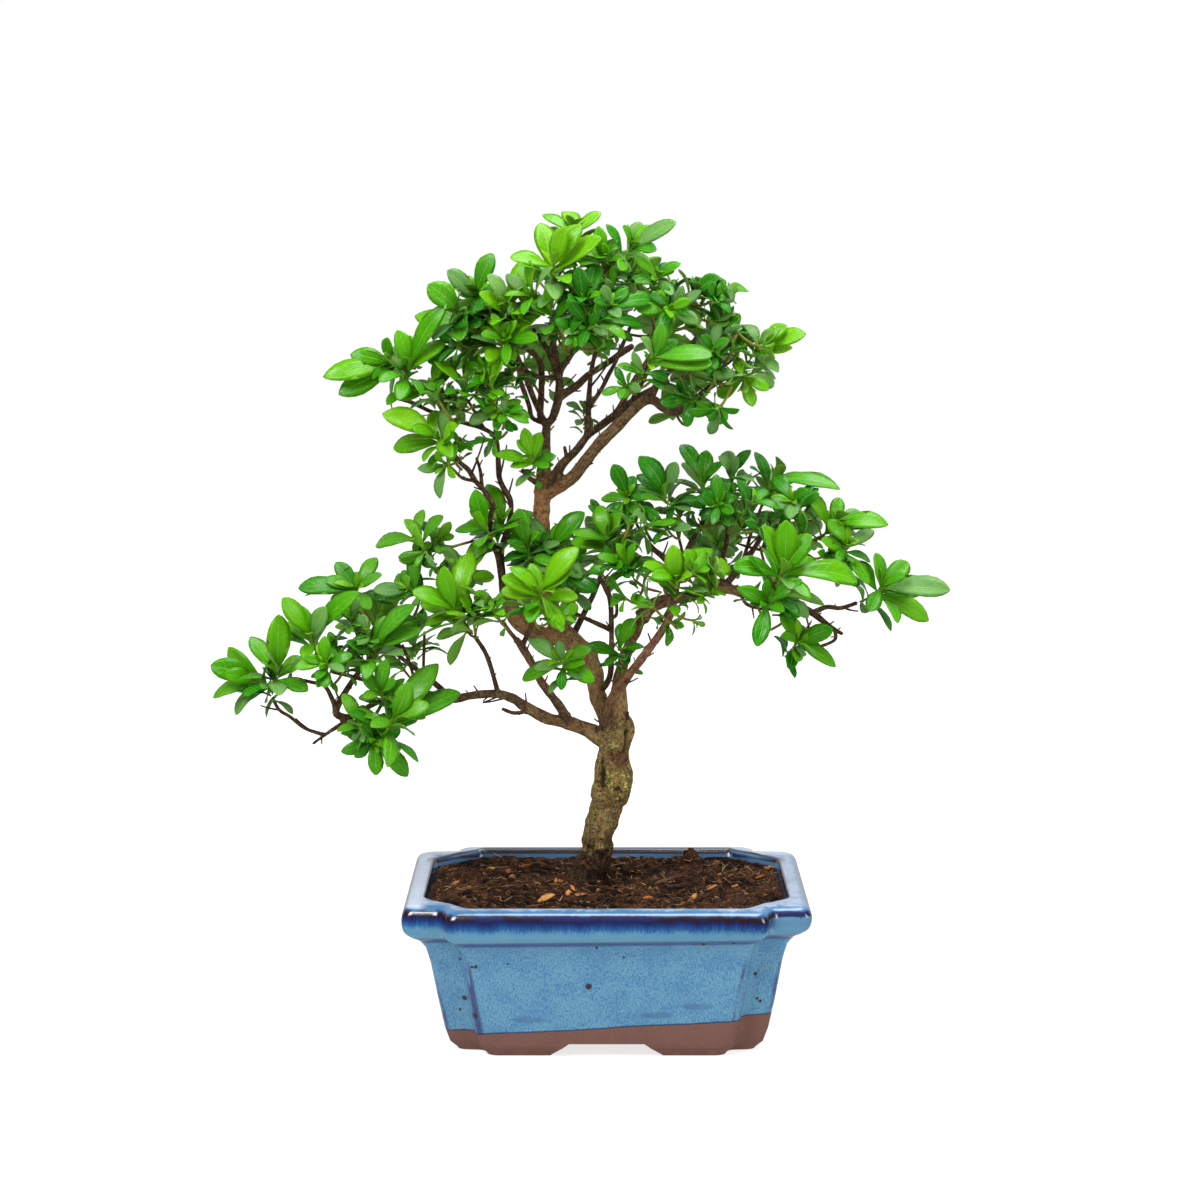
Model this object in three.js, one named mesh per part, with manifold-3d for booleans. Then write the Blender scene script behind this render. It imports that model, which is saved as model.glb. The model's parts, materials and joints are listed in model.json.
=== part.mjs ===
// A satsuki azalea bonsai, trained with a leader and two spreading boughs, in its glazed pot.
// Millimetres, +Z up. The model is laid out about the middle of the pot's underside, and at the end it is
// moved so that the middle of its bounding box's bottom face is the origin.
//
// The tree is laid out as it shows from the front: "across" and "up" are millimetres in a picture plane
// that faces a viewer a little above the tree, and "depth" is millimetres behind the pot's middle.
// The function seen() turns such a place into a point in space.

import * as THREE from 'three';
import { mergeVertices } from 'three/addons/utils/BufferGeometryUtils.js';
import Module from 'manifold-3d';

const wasm = await Module();
wasm.setup();
const Solid = wasm.Manifold;

// Fit between neighbouring pieces

const GAP = 0.35;
const LEAF_CLEARANCE = 0.3;
const JOINT_TOLERANCE = 0.05;

// The viewer for whom the tree is laid out

const VIEW_DISTANCE = 1610;
const VIEW_PITCH = THREE.MathUtils.degToRad(7.4);
const VIEW_AIM = new THREE.Vector3(-3.25, 0, 218.7);
const AIM_UP = 228;

// Pot: rows are height, half length, half width, corner notch length and corner notch width

const OUTER_PROFILE = [
  [0, 74, 56, 15.6, 11.5],
  [3, 76, 58, 15.8, 11.7],
  [4.5, 77.5, 59.5, 16, 12],
  [12, 80, 61.5, 16.4, 12],
  [45, 86.5, 68.5, 17.5, 12],
  [53, 88.8, 71, 18.5, 12],
  [57, 92, 73.5, 19.5, 12],
  [59, 95.5, 76, 20.5, 12],
  [62, 98.8, 78.6, 21.5, 12],
  [66.5, 100, 80, 22, 12],
  [72.5, 99.6, 79.6, 22, 12],
  [75.8, 98, 78, 21.5, 12],
  [77.1, 95.6, 75.6, 21, 12],
  [77.5, 93.5, 73.5, 20, 12],
];
const INNER_PROFILE = [
  [77.2, 90, 70.5, 23, 24],
  [75.5, 89, 69, 23, 24],
  [64, 85, 65.5, 22, 22],
  [12.5, 76, 57, 21, 21],
];
const OUTER_BITE = 0.9;
const INNER_BITE = 0.5;
const OUTER_ROUNDING = 5;
const INNER_ROUNDING = 3;
const RECESS_HEIGHT = 7.5;
const FOOT_RING_WIDTH = 11;
const FOOT_ARCH_HEIGHT = 7;
const FRONT_ARCH = { top: 37, bottom: 56 };
const SIDE_ARCH = { top: 26, bottom: 42 };
const DRAIN_HOLE_RADIUS = 7;
const DRAIN_HOLE_ACROSS = 40;
const DRAIN_SCREEN = { side: 30, thickness: 1, slots: 4, slotWidth: 3.4, slotLength: 22 };

// Soil

const SOIL_TOP = 74.3;
const SOIL_FALL_TO_BACK = 0.009;
const SOIL_EDGE_DROP = 1.3;
const SOIL_MOUND = { height: 2.2, reach: 34, x: -9, y: 6 };
const SOIL_LUMP = 1.2;
const SOIL_RING_SCALES = [0.93, 0.76, 0.56, 0.34, 0.14];

// Leaves and young stems

const STEM_RADIUS = 1.1;
const STEM_TIP_RADIUS = 0.85;
const WHORL_LENGTH = 6;
const STEM_STEP = 11;
const WHORL_STATIONS = [0.5, 1];
const STEM_RELIEF = 0.3;
const STEM_EASE = 0.35;
const MOST_SEATS_TRIED = 60;
const LEAF_HALF_WIDTH = 0.215;
const LEAF_ARCH = 0.08;
const LEAF_KEEL = 0.9;
const LEAF_STATIONS = [
  { along: 0.46, width: 1 },
  { along: 0.82, width: 0.8 },
];
const FEWEST_LEAVES = 4;
const LEAST_SHOWN_LENGTH = 0.72;
const LENGTH_ALLOWANCE = 1.04;
const SHARE_TOWARDS_VIEWER = 0.72;
const LEAF_ROOT_SHARE = 0.16;
const LEAST_FACING = 0.25;
const LEAST_OVERLAP = 1e-4;

// Whorls: how far their axes and their leaves' upper sides turn up and to the viewer, and the spread of
// leaves that no picture gives

const AXIS_RISE = 0.5;
const AXIS_TO_VIEWER = 0.3;
const UPPER_TO_VIEWER = 0.5;
const BACK_AXIS = { spread: 0.004, from: -20, back: 0.75, rise: 0.7 };
const GOLDEN_ANGLE = THREE.MathUtils.degToRad(137.5);
const RULE_LEAN = { least: THREE.MathUtils.degToRad(38), spread: THREE.MathUtils.degToRad(38) };
const RULE_LENGTH = { least: 0.8, spread: 0.25 };

// The trunk: across, up, depth and radius of each station from its foot in the soil upward

const TRUNK = [
  [-9, 69, 8, 12], [-10, 84, 8, 11.5], [-6.5, 94, 8, 9.3], [-3.5, 103, 8, 8.6], [-3, 112, 7, 8.9],
  [-1, 122, 6, 9], [1.5, 130.5, 5, 9.5], [3, 138, 4, 9.6], [3.5, 146, 3, 8.4], [5, 155.5, 2, 8.2],
  [4, 164.5, 4, 7.6], [-2.5, 175, 8, 5], [-5, 183, 10, 4.6], [-6.5, 192, 12, 5], [-10.5, 200, 12, 5.2],
  [-18, 208, 12, 5.2], [-25, 217, 10, 5], [-29.5, 229.5, 8, 4.8], [-32.5, 245.5, 6, 4.6],
  [-33, 260.5, 4, 4.6], [-32.5, 273, 2, 4.8], [-32, 283, 0, 3.4],
];

// Limbs: name, the limb that carries it, depths that it runs through after its start, radii from start to
// end, and its path as across and up pairs. It starts on its carrier's middle line.

const LIMBS = [
  ['shoulder', 'trunk', [2, 1], [3, 4.6, 3.6], [5, 172, 9, 167, 11, 160, 10, 149]],
  ['scar_knob', 'trunk', [-3, -6], [4, 5.8, 3], [3, 132, 6, 135, 8, 139]],
  ['leader', 'trunk', [-2, -3, -14], [3.3, 2.3, 2.1, 1.1],
    [-32, 281, -31.5, 292, -30.5, 305, -30, 315, -27, 319, -24.5, 327, -23.5, 334, -24, 340, -27, 348,
      -32, 357, -37, 364]],
  ['leader_left', 'leader', [-4, -10], [1.9, 1.2],
    [-30.5, 316, -33, 320.5, -32.5, 333.5, -33, 346, -38, 352.5, -45, 355.5, -51, 358]],
  ['top_left_arm', 'leader_left', [-14], [1, 0.8], [-51, 358, -56, 360.5, -63, 367, -68, 375.5]],
  ['leader_right', 'leader', [4, 12], [2, 1.4], [-23, 329, -15, 335, -9, 340.5, 1, 347, 8, 352, 13, 355]],
  ['leader_back', 'leader', [4, 10], [1.8, 1.2], [-26, 340, -26, 352.5, -26, 359, -20, 374, -17, 383]],
  ['crown_right', 'leader_back', [8, 5], [1.1, 0.9], [-19, 376, -8, 385.5, 3, 395.5]],
  ['leader_front', 'leader', [-12, -22], [1.4, 1.1], [-23, 342, -19, 348.5, -14.5, 357, -12, 362.5]],
  ['left_low_top', 'leader', [-12, -20], [1.3, 1], [-25, 339, -36, 340, -42, 345, -46, 350, -50.5, 352.5]],
  ['left_twig', 'leader', [10, 20], [1.2, 1.1], [-30.5, 316, -37, 319, -39, 326, -43, 337.5, -44, 344]],
  ['inner_bough', 'leader', [4, 12, 25], [2.6, 1.5],
    [-31, 284, -27, 287.5, -22, 296, -15, 303, -9.5, 310, -2.5, 315.5, 5, 321, 13, 327.5, 22, 333,
      31, 337.5]],
  ['inner_stub', 'inner_bough', [6], [1.1, 0.8], [-20, 299.5, -21, 304.5]],
  ['inner_up', 'inner_bough', [16, 28], [1.5, 1],
    [-9.5, 310, -9, 322, -8.5, 332, -7.5, 343, -4.5, 355.5, 0, 368]],
  ['inner_mid', 'inner_up', [4, 0], [1.2, 0.9], [-9, 324, -2.5, 333.5, 1, 340.5, 4, 346, 8, 355.5, 13, 367]],
  ['outer_bough', 'trunk', [-4, -9, -14, -20], [3.4, 2.9, 2.8, 2.4, 1.9, 1],
    [-31, 280, -18, 288.5, -11.5, 296, -4, 305.5, 4, 313.5, 11.5, 321, 18, 327, 23, 328, 29, 324, 34, 322,
      42, 325.5, 50, 333, 58, 338, 67, 342]],
  ['outer_up', 'outer_bough', [-10, -5], [1.8, 1.1], [21, 328, 26, 336.5, 33, 344, 41, 353, 47, 363]],
  ['outer_up_back', 'inner_bough', [14, 5], [1.4, 1], [13, 328, 20, 342, 23, 353, 24, 365.5, 22, 378]],
  ['left_knob', 'trunk', [2, -10], [4, 3.8, 4.1, 3.2, 2.2],
    [-20, 209, -29, 209.5, -38, 213, -45, 219, -48, 225.5, -51, 232, -52, 238.5]],
  ['left_stem_low', 'left_knob', [-14, -18], [1.7, 1.1],
    [-52, 237, -54, 249, -56, 254, -59.5, 258.5, -59, 263.5, -58, 270, -57, 276, -61.5, 283, -65.5, 287.5,
      -69, 293, -73.5, 297, -76.5, 301.5]],
  ['left_stem_high', 'left_knob', [-4, 2, -1, -5], [1.6, 1.3, 0.9],
    [-51.5, 236, -52.5, 249, -52, 255, -50, 262, -48, 270, -48, 277.5, -51.5, 284, -53.5, 289, -54, 295.5,
      -55, 308, -60, 313, -69, 316, -79, 318.5, -88.5, 322.5, -98, 327, -105, 329]],
  ['left_link', 'leader', [-8, -12], [1.5, 1.2], [-32, 284, -38.5, 289, -42, 293]],
  ['left_up', 'left_stem_high', [-4, -12], [1.2, 0.9], [-55, 308, -56, 318, -58, 328, -59, 338, -57, 348]],
  ['left_fork', 'left_stem_high', [-6], [0.9, 0.8], [-79, 319, -83, 324, -86, 329]],
  ['left_twig_up', 'left_stem_high', [-4, -10], [1, 0.8], [-62, 314, -67, 324, -72, 331]],
  ['left_thin', 'left_stem_low', [-20, -24], [0.8, 0.7], [-66, 287, -72, 289, -77, 293.5, -86, 300.5]],
  ['left_stub', 'left_stem_low', [-12], [0.9, 0.7], [-62, 284, -63, 292, -65, 299]],
  ['right_stem', 'trunk', [2, 4, 8], [5.5, 4.2, 3, 2.7, 2.6],
    [5, 160.5, 5.5, 172, 6, 180.5, 6.5, 186, 8, 195.5, 11, 204, 15.5, 213, 18, 222]],
  ['right_bough', 'right_stem', [10, 6, 0, -4, -8], [3.2, 3, 2.9, 2.6, 2, 1],
    [17, 219, 23, 225, 32, 228, 44, 230.5, 58, 233.5, 68, 232, 77, 230, 86, 229, 95, 225, 103, 221.5,
      112, 214.5, 118, 211]],
  ['right_tip', 'right_bough', [-8], [1.4, 1], [103, 222, 110, 224.5, 117, 224, 125, 226.5]],
  ['hanging_twig', 'right_bough', [-8], [0.9, 0.7], [114, 213, 114, 208, 106, 204.5, 99, 203]],
  ['right_thin', 'right_bough', [-6, -10], [0.9, 0.7], [66, 232, 70, 226, 78, 223.5, 86, 223.5]],
  ['right_up_far', 'right_bough', [-2, -8], [1.7, 1.3], [58, 234, 64, 241, 70, 248.5, 74, 254, 77, 259]],
  ['right_up_fork', 'right_up_far', [-4], [1, 0.8], [67, 246, 71, 257, 73, 263.5]],
  ['right_up_mid', 'right_bough', [4, 0], [1.2, 1], [58, 235, 58, 247.5, 60, 257, 60.5, 267]],
  ['right_up_near', 'right_bough', [0, -8], [1.5, 1.1],
    [33, 230.5, 37, 243, 41, 254, 45, 261.5, 48, 267, 50, 272]],
  ['right_up_fan', 'right_up_near', [-10], [0.9, 0.7], [38, 247, 37, 256, 35, 263]],
  ['right_up_left', 'right_bough', [4, -4], [1.8, 1.1], [34, 229, 34, 240.5, 29, 248.7, 24, 253, 20, 257.6]],
  ['centre_stem', 'trunk', [4, 0], [1.5, 1.2],
    [-3.5, 180, 1.5, 189, 2.5, 201, 2.5, 213, 2, 227, 0, 233, -3.5, 239.5]],
  ['centre_twig_low', 'centre_stem', [4], [1.2, 0.9], [1.5, 213, -12, 219.5, -21, 224]],
  ['centre_twig_high', 'centre_stem', [-8], [1, 0.8], [1.5, 218.6, 5, 221, 5, 228]],
  ['front_branch', 'trunk', [-8, -14, -22, -30, -38], [2.4, 2.2, 2],
    [1, 157, -1, 164, 0, 172, 4, 182, 9, 188.5, 14, 194, 19, 200.5, 27, 211.5, 33, 222.5]],
  ['front_fork_left', 'front_branch', [-40], [1.2, 1], [33, 222, 31, 228.5, 29, 233.5]],
  ['left_bough', 'trunk', [-4, -8, -10, -13, -15], [4.5, 3.4, 2.6, 2.3, 2.1, 1.8, 1.4, 0.9],
    [1, 154, -6, 161.5, -13, 164.5, -20, 167, -28, 168.5, -34, 171, -41, 175, -47, 179, -54, 181, -62, 181,
      -69, 180, -77, 178.5, -85, 180, -93, 181.5, -103, 180, -113, 177.5, -122, 173, -130, 167.5,
      -138, 162.5, -147, 156]],
  ['left_bough_stub', 'left_bough', [-12], [1, 0.8], [-38, 172.5, -46, 171.5, -52, 173.5]],
  ['front_left_branch', 'left_bough', [-16, -30], [2.3, 1.8],
    [-19, 167, -23, 174, -29, 182, -34, 189.5, -38, 197.5, -43, 205.5, -45, 208]],
  ['front_left_fork', 'front_left_branch', [-34], [1.1, 1], [-44.5, 207, -49, 213, -52, 217.5]],
  ['front_left_green', 'front_left_branch', [-38], [1.2, 1], [-42, 204, -38, 214, -35, 221]],
  ['left_mid_branch', 'left_bough', [-22, -32], [1.3, 1], [-54, 181, -58, 195, -61, 202.5, -66, 210]],
  ['left_bare_twig', 'left_bough', [-8], [0.8, 0.7], [-92, 181, -91.5, 196, -91, 212]],
  ['left_bare_fork', 'left_bough', [-12, -14], [0.9, 0.7], [-95, 181, -98, 195, -102, 205.5]],
  ['tip_up', 'left_bough', [-12, -8], [1.7, 1.3],
    [-129, 168, -135, 171, -134, 176, -130, 183, -125, 190.5, -120, 196.5, -116, 202.5]],
  ['tip_up_left', 'tip_up', [-18, -22], [1.2, 0.9],
    [-134.5, 173, -137, 178, -141, 185, -148, 187, -156, 188.7]],
  ['tip_up_stub', 'tip_up_left', [-18], [0.8, 0.7], [-141, 185, -142, 191]],
  ['tip_far', 'left_bough', [-13, -10], [1, 0.8],
    [-141, 160, -151, 164, -158, 169.5, -163.5, 173, -167, 179]],
  ['tip_thin', 'tip_up', [-24], [0.8, 0.7], [-135, 174, -129, 160, -120, 157, -114, 159.5]],
  ['tip_middle', 'left_bough', [4], [1.1, 0.9], [-109, 178, -115, 185.5, -127, 189.7, -137, 192]],
  ['crown_back_left', 'leader', [12, 25, 42], [1.6, 1.1], [-30, 315, -36, 328, -41, 341, -45, 352]],
  ['crown_back_right', 'inner_bough', [22, 34, 48], [1.6, 1.1], [5, 321, 13, 336, 20, 347, 25, 355]],
  ['right_back', 'right_bough', [18, 32, 42], [1.6, 1.1], [44, 230.5, 50, 240, 57, 250, 64, 258]],
  ['left_back', 'left_bough', [0, 10, 20], [1.4, 1], [-77, 178.5, -88, 188, -100, 197, -110, 205]],
  ['centre_back', 'trunk', [20, 32, 40], [1.7, 1.1], [-18, 208, -12, 220, -6, 232, -2, 243]],
];

// Sprays of leaves: each whorl has its middle (across, up, depth), leaf length, leaf colour and the places
// of its leaf tips as across and up pairs

const SPRAYS = {
  crown_peak: [
    [-27, 392, -30, 26, 'bright', [-33, 417, -13, 416, -21, 418, -48, 400, -2, 409]],
    [-16, 409, -5, 24, 'dark', [-32, 421, -12, 420, -3, 422]],
  ],
  crown_right_peak: [
    [11, 401, -18, 25, 'middle', [9, 415, 17, 417, 21, 416, 35, 417, 25, 403]],
    [-2, 397, -22, 20, 'dark', [-4, 415, -2, 410]],
  ],
  crown_centre: [
    [-10, 375, -38, 24, 'dark', [-14, 395, -20, 378]],
    [0, 373.5, -42, 20, 'bright', [-2, 385.5, 11, 383, 25, 379, -6, 378, 7, 369]],
  ],
  crown_heart: [
    [-12, 363, -42, 17, 'middle', [-25, 368, -22, 361, -13, 370, 1, 362.5, -2, 354.5, -16, 355]],
    [-5, 365.5, -44, 16, 'middle', [19, 365, 8, 372]],
    [-27, 369, -34, 22, 'middle', [-18, 378, -39, 376.5, -31, 383]],
  ],
  crown_left_bright: [
    [-51, 370.5, -30, 27, 'bright', [-60, 382, -37, 399.5, -47, 390, -59, 391, -34, 378]],
    [-53, 355.5, -30, 23, 'middle', [-34, 370, -40, 375, -66, 363, -43, 365.5, -60, 347, -49, 367]],
  ],
  crown_left_back: [
    [-64, 378, -12, 25, 'dark', [-80, 393, -69, 385.5, -78, 376.5, -57, 401.5]],
    [-65, 362, -20, 28, 'bright', [-96, 370.5, -89, 386, -76, 373, -70, 369, -81, 361.5]],
  ],
  crown_left_tip: [
    [-105, 344, -8, 27, 'middle', [-128, 351, -127, 348, -142, 339.5, -134, 330.5, -109, 359.5, -117, 339]],
    [-99, 341, -20, 22, 'bright', [-94, 360.5, -81, 357.5, -111, 352, -103, 363, -81, 376.5]],
  ],
  crown_left_low: [
    [-87, 332, -16, 19, 'middle', [-83, 349, -74, 351, -100, 334, -105, 329, -77, 328, -80, 340]],
    [-72, 332.5, -28, 20, 'middle', [-90, 334, -64, 348, -58, 340.5]],
  ],
  crown_left_inner: [
    [-58, 335, -32, 18, 'middle', [-67, 343, -64, 352, -53, 350.5, -70, 337.5]],
    [-47, 338, -24, 17, 'dark', [-45, 346, -49, 353]],
    [-54, 321, -22, 17, 'middle', [-38, 319, -69, 316.5, -60, 331.5, -43, 328, -63, 324, -55, 312]],
  ],
  crown_left_skirt: [
    [-83, 307.5, -26, 27, 'bright', [-112, 321.5, -87, 323.5, -99, 314, -107, 304.5, -75, 316, -77, 299.5]],
    [-73, 304.5, -14, 11, 'dark', [-67, 303, -70, 308, -77, 308]],
  ],
  trunk_tuft: [
    [-37, 297.5, -22, 17, 'middle',
      [-56, 300.5, -48, 295, -41, 314, -33, 312, -25, 300, -45, 308, -29, 294.5]],
  ],
  crown_right_upper: [
    [25, 387, -22, 22, 'middle', [37, 396.5, 15, 399, 27, 392, 33, 380]],
    [31, 373, -34, 20, 'dark', [15, 373, 42, 378, 38, 369, 46, 366.5]],
  ],
  crown_right_shoulder: [
    [42, 378, -22, 24, 'dark', [43, 389.5, 58, 390, 60, 388, 71, 382.5, 54, 378]],
    [58, 363, -14, 20, 'dark', [62, 382.5, 55, 376.5, 66, 369]],
  ],
  crown_right_front: [
    [24, 347, -46, 26, 'bright', [28, 366.5, 40, 355.5, 53, 350.5, 53, 346, 17, 359]],
    [16, 340, -38, 20, 'middle', [5, 345, 13, 352, 31, 338, 7, 329.5]],
  ],
  crown_right_tip: [
    [75, 352, -8, 25, 'bright', [90, 365.5, 100, 361, 93, 354.5, 70, 366.5, 62, 367, 85, 363, 90, 342]],
    [68, 339, -18, 24, 'dark', [53, 340.5, 84, 336.5, 81, 333, 73, 324.5, 55, 329.5]],
  ],
  crown_right_inner: [
    [53, 352, -30, 20, 'dark', [47, 360.5, 61, 358, 42, 353, 58, 344]],
    [43, 329, -30, 21, 'dark', [40, 314.5, 35, 338, 61, 317.5, 27, 327]],
  ],
  crown_inner_pale: [
    [-11, 320.5, 25, 14, 'pale', [-20, 327, -5, 325.5]],
  ],
  right_near: [
    [11, 278, -10, 22, 'dark', [3, 296, -3, 279, 22, 279.5, 15, 270.5]],
    [30, 277.5, -20, 25, 'dark', [17, 300, 34, 297, 50, 276, 22, 283, 17, 279.5, 15, 290.5]],
  ],
  right_low_front: [
    [21, 263.5, -30, 17, 'middle', [15, 271.5, 35, 267, 31, 260, 13, 261, 42, 264.5]],
  ],
  right_middle: [
    [56, 275, -24, 19, 'dark', [55, 291, 47, 281, 53, 265.5, 64, 271.5]],
    [72, 275.5, -26, 19, 'middle', [65, 287.5, 81, 283, 87, 274, 64, 268]],
  ],
  right_top: [
    [48, 285, -4, 24, 'dark', [37, 305.5, 50, 303, 38, 297, 58, 297]],
    [63, 289, -8, 20, 'dark', [56, 300, 69, 300, 72, 303]],
  ],
  right_top_far: [
    [82, 285.5, -2, 27, 'dark', [74, 302, 87, 299.5, 82, 295, 100, 290, 117, 282.5]],
    [95, 275.5, -20, 22, 'dark', [82, 275.5, 100, 283]],
  ],
  right_far: [
    [112, 264.5, -10, 24, 'middle',
      [120, 272, 135, 266.5, 141, 266, 100, 282, 117, 279.5, 127, 272, 125, 257.5]],
    [121, 251.5, -16, 24, 'dark', [134, 263, 107, 258, 131, 235.5]],
  ],
  right_end: [
    [136, 232.5, -8, 27, 'middle',
      [135, 251.5, 153, 246.5, 162, 234.5, 172, 233, 161, 217.5, 131, 222, 127, 247, 149, 240.5]],
  ],
  right_big: [
    [87, 240, -42, 32, 'bright', [77, 265.5, 90, 268, 101, 260.5, 107, 247, 127, 239, 63, 245, 102, 229.5]],
    [86, 229.5, -20, 18, 'dark', [102, 220, 68, 236]],
  ],
  right_hanging: [
    [95, 206.5, -16, 21, 'middle', [88, 224.5, 113, 214, 115, 195, 92, 193.5, 87, 210]],
  ],
  right_back_pale: [
    [54, 255.5, 20, 21, 'pale', [66, 266, 64, 250, 53, 248]],
  ],
  front_bright: [
    [35, 234, -44, 24, 'bright',
      [17, 247, 32, 248, 36, 256.5, 44, 251.5, 53, 254.5, 62, 244.5, 15, 242, 39, 240.5]],
    [50, 231, -42, 15, 'middle', [55, 236.5, 60, 230.5, 45, 226]],
  ],
  front_low: [
    [29, 218, -30, 13, 'middle', [39, 214, 31, 204.5]],
  ],
  centre_right: [
    [11, 243.5, -30, 20, 'middle', [-5, 250, 0, 236, 5, 256.5, 13, 256.5, 21, 248]],
    [3, 254.5, -20, 25, 'dark', [-4, 275.5, -17, 262.5, -18, 257.5]],
  ],
  centre_dark: [
    [-38, 250.5, -14, 25, 'dark', [-44, 274, -50, 257.5, -51, 247.5]],
    [-28, 251.5, -2, 27, 'pale', [-11, 272, -32, 261.5]],
  ],
  centre_bright: [
    [-33, 229.5, -48, 26, 'bright',
      [-15, 254.5, -38, 246.5, -48, 244.5, -17, 243, -52, 231.5, -16, 228.5, -22, 213, -52, 240]],
  ],
  centre_left_bright: [
    [-59, 222.5, -40, 20, 'bright', [-74, 236, -62, 235, -51, 228.5, -67, 222, -78, 214]],
  ],
  centre_left_big: [
    [-74, 220.5, -36, 28, 'bright', [-97, 233, -68, 252.5, -59, 248, -93, 226.5, -81, 245.5, -91, 215.5]],
    [-72, 240.5, -16, 22, 'pale', [-64, 260, -78, 248, -56, 239.5]],
  ],
  centre_low: [
    [-22, 195.5, -28, 19, 'middle',
      [-39, 208.5, -24, 208, -43, 188.5, -37, 194.5, -16, 184.5, -6, 187.5, -13, 196, -8, 204]],
  ],
  centre_stem_leaves: [
    [7, 201.5, -14, 17, 'middle', [-10, 205.5, -2, 193, 7, 216.5, 14, 219, 19, 204.5]],
  ],
  centre_pale: [
    [-17, 232, 10, 19, 'pale', [-4, 238, -19, 215.5]],
  ],
  centre_back_dark: [
    [-3, 265.5, 8, 14, 'dark', [-9, 275.5, 5, 271]],
  ],
  left_middle: [
    [-92, 257.5, -14, 21, 'bright', [-101, 268.5, -92, 273.5, -82, 270.5, -116, 255.5]],
    [-87, 255.5, -6, 17, 'middle', [-78, 267, -76, 260, -83, 250.5]],
    [-90, 252, -16, 15, 'middle', [-104, 247.5, -96, 244, -85, 244]],
  ],
  left_middle_twig: [
    [-59, 261.5, -24, 25, 'middle', [-66, 283, -64, 272.5, -76, 263.5]],
    [-52, 263, -2, 24, 'pale', [-37, 281.5, -58, 252]],
  ],
  left_tip: [
    [-171, 186, -10, 26, 'middle', [-189, 204.5, -198, 195.5, -194, 188, -197, 180, -186, 171, -183, 186]],
    [-165, 189, -20, 28, 'middle', [-164, 221, -178, 210, -152, 199.5, -149, 182, -172, 200.5]],
  ],
  left_front: [
    [-147, 208, -24, 25, 'middle', [-162, 229, -141, 228.5, -152, 226, -124, 232.5, -160, 216.5, -151, 198]],
    [-140, 194.5, -34, 18, 'dark', [-156, 194, -151, 199.5, -141, 210, -127, 200.5, -131, 192]],
  ],
  left_heart: [
    [-116, 202, -26, 24, 'middle', [-132, 207.5, -122, 221, -93, 214, -97, 226, -131, 202.5, -108, 219]],
    [-127, 217, -22, 18, 'pale', [-124, 229.5, -134, 225.5, -117, 217]],
  ],
  left_top: [
    [-125, 233, -6, 25, 'middle', [-115, 249.5, -141, 238.5, -154, 234.5, -112, 240.5, -118, 223]],
    [-96, 232, -14, 22, 'pale', [-117, 232.5, -99, 239.5, -111, 228]],
  ],
  left_low: [
    [-112, 179.5, -30, 20, 'middle', [-110, 198.5, -122, 191.5, -105, 188, -122, 179.5]],
    [-123, 164, -30, 18, 'middle', [-132, 181, -135, 162.5, -120, 175.5, -114, 170.5]],
  ],
  left_skirt: [
    [-108, 166, -34, 28, 'bright', [-84, 196.5, -99, 187.5, -73, 181.5, -88, 175.5, -118, 164.5]],
    [-118, 158, -28, 20, 'bright', [-111, 155, -99, 140]],
  ],
};

// Sprays behind the tree: whorl middle, leaf length and colour; their leaves fan out by rule

const BACK_SPRAYS = {
  back_crown_left: [[-48, 362, 50, 25, 'middle'], [-66, 350, 42, 24, 'dark']],
  back_crown_peak: [[-22, 396, 30, 25, 'dark'], [-2, 388, 42, 24, 'middle']],
  back_crown_middle: [[-10, 362, 52, 24, 'dark'], [-28, 344, 46, 22, 'middle']],
  back_crown_right: [[28, 366, 54, 25, 'middle'], [14, 384, 34, 22, 'dark']],
  back_crown_far: [[52, 352, 34, 25, 'dark'], [40, 334, 46, 22, 'middle']],
  back_right: [[68, 266, 48, 25, 'middle'], [50, 250, 50, 22, 'dark']],
  back_right_far: [[94, 256, 30, 25, 'dark'], [84, 272, 36, 23, 'middle']],
  back_left: [[-114, 212, 26, 25, 'middle'], [-96, 206, 30, 22, 'dark']],
  back_centre: [[0, 250, 46, 24, 'middle'], [-20, 240, 44, 22, 'dark']],
};
const BACK_WHORL_LEAVES = 6;

const COLOURS = {
  glaze: 0x5b93bd,
  soil: 0x3b2417,
  screen: 0x20221f,
  bark: 0x6b5234,
  bright: 0x8fc81a,
  middle: 0x2f9426,
  dark: 0x1d6a2a,
  pale: 0x6f9a72,
};

// Small helpers

const vec = (x, y, z) => new THREE.Vector3(x, y, z);
const UP = vec(0, 0, 1);
const TO_VIEWER = vec(0, -1, 0);

// A repeatable number from 0 to 1 for a pair of numbers
function scatter(a, b) {
  const value = Math.sin(a * 12.9898 + b * 78.233) * 43758.5453;
  return value - Math.floor(value);
}

// The value at a fraction t of a list of evenly spaced values
function ramp(values, t) {
  const place = t * (values.length - 1);
  const index = Math.min(Math.floor(place), Math.max(values.length - 2, 0));
  const next = values[Math.min(index + 1, values.length - 1)];
  return values[index] + (next - values[index]) * (place - index);
}

// A place in the front view as a point in space
function seen(across, up, depth) {
  const sin = Math.sin(VIEW_PITCH);
  const cos = Math.cos(VIEW_PITCH);
  const eye = vec(VIEW_AIM.x, -VIEW_DISTANCE * cos, VIEW_AIM.z + VIEW_DISTANCE * sin);
  const onPlane = vec(across, (up - AIM_UP) * sin, VIEW_AIM.z + (up - AIM_UP) * cos);
  const reach = (depth - eye.y) / (onPlane.y - eye.y);
  return eye.lerp(onPlane, reach);
}

function without(vector, axis) {
  return vector.clone().addScaledVector(axis, -vector.dot(axis));
}

// Solids for joining and cutting

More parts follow.
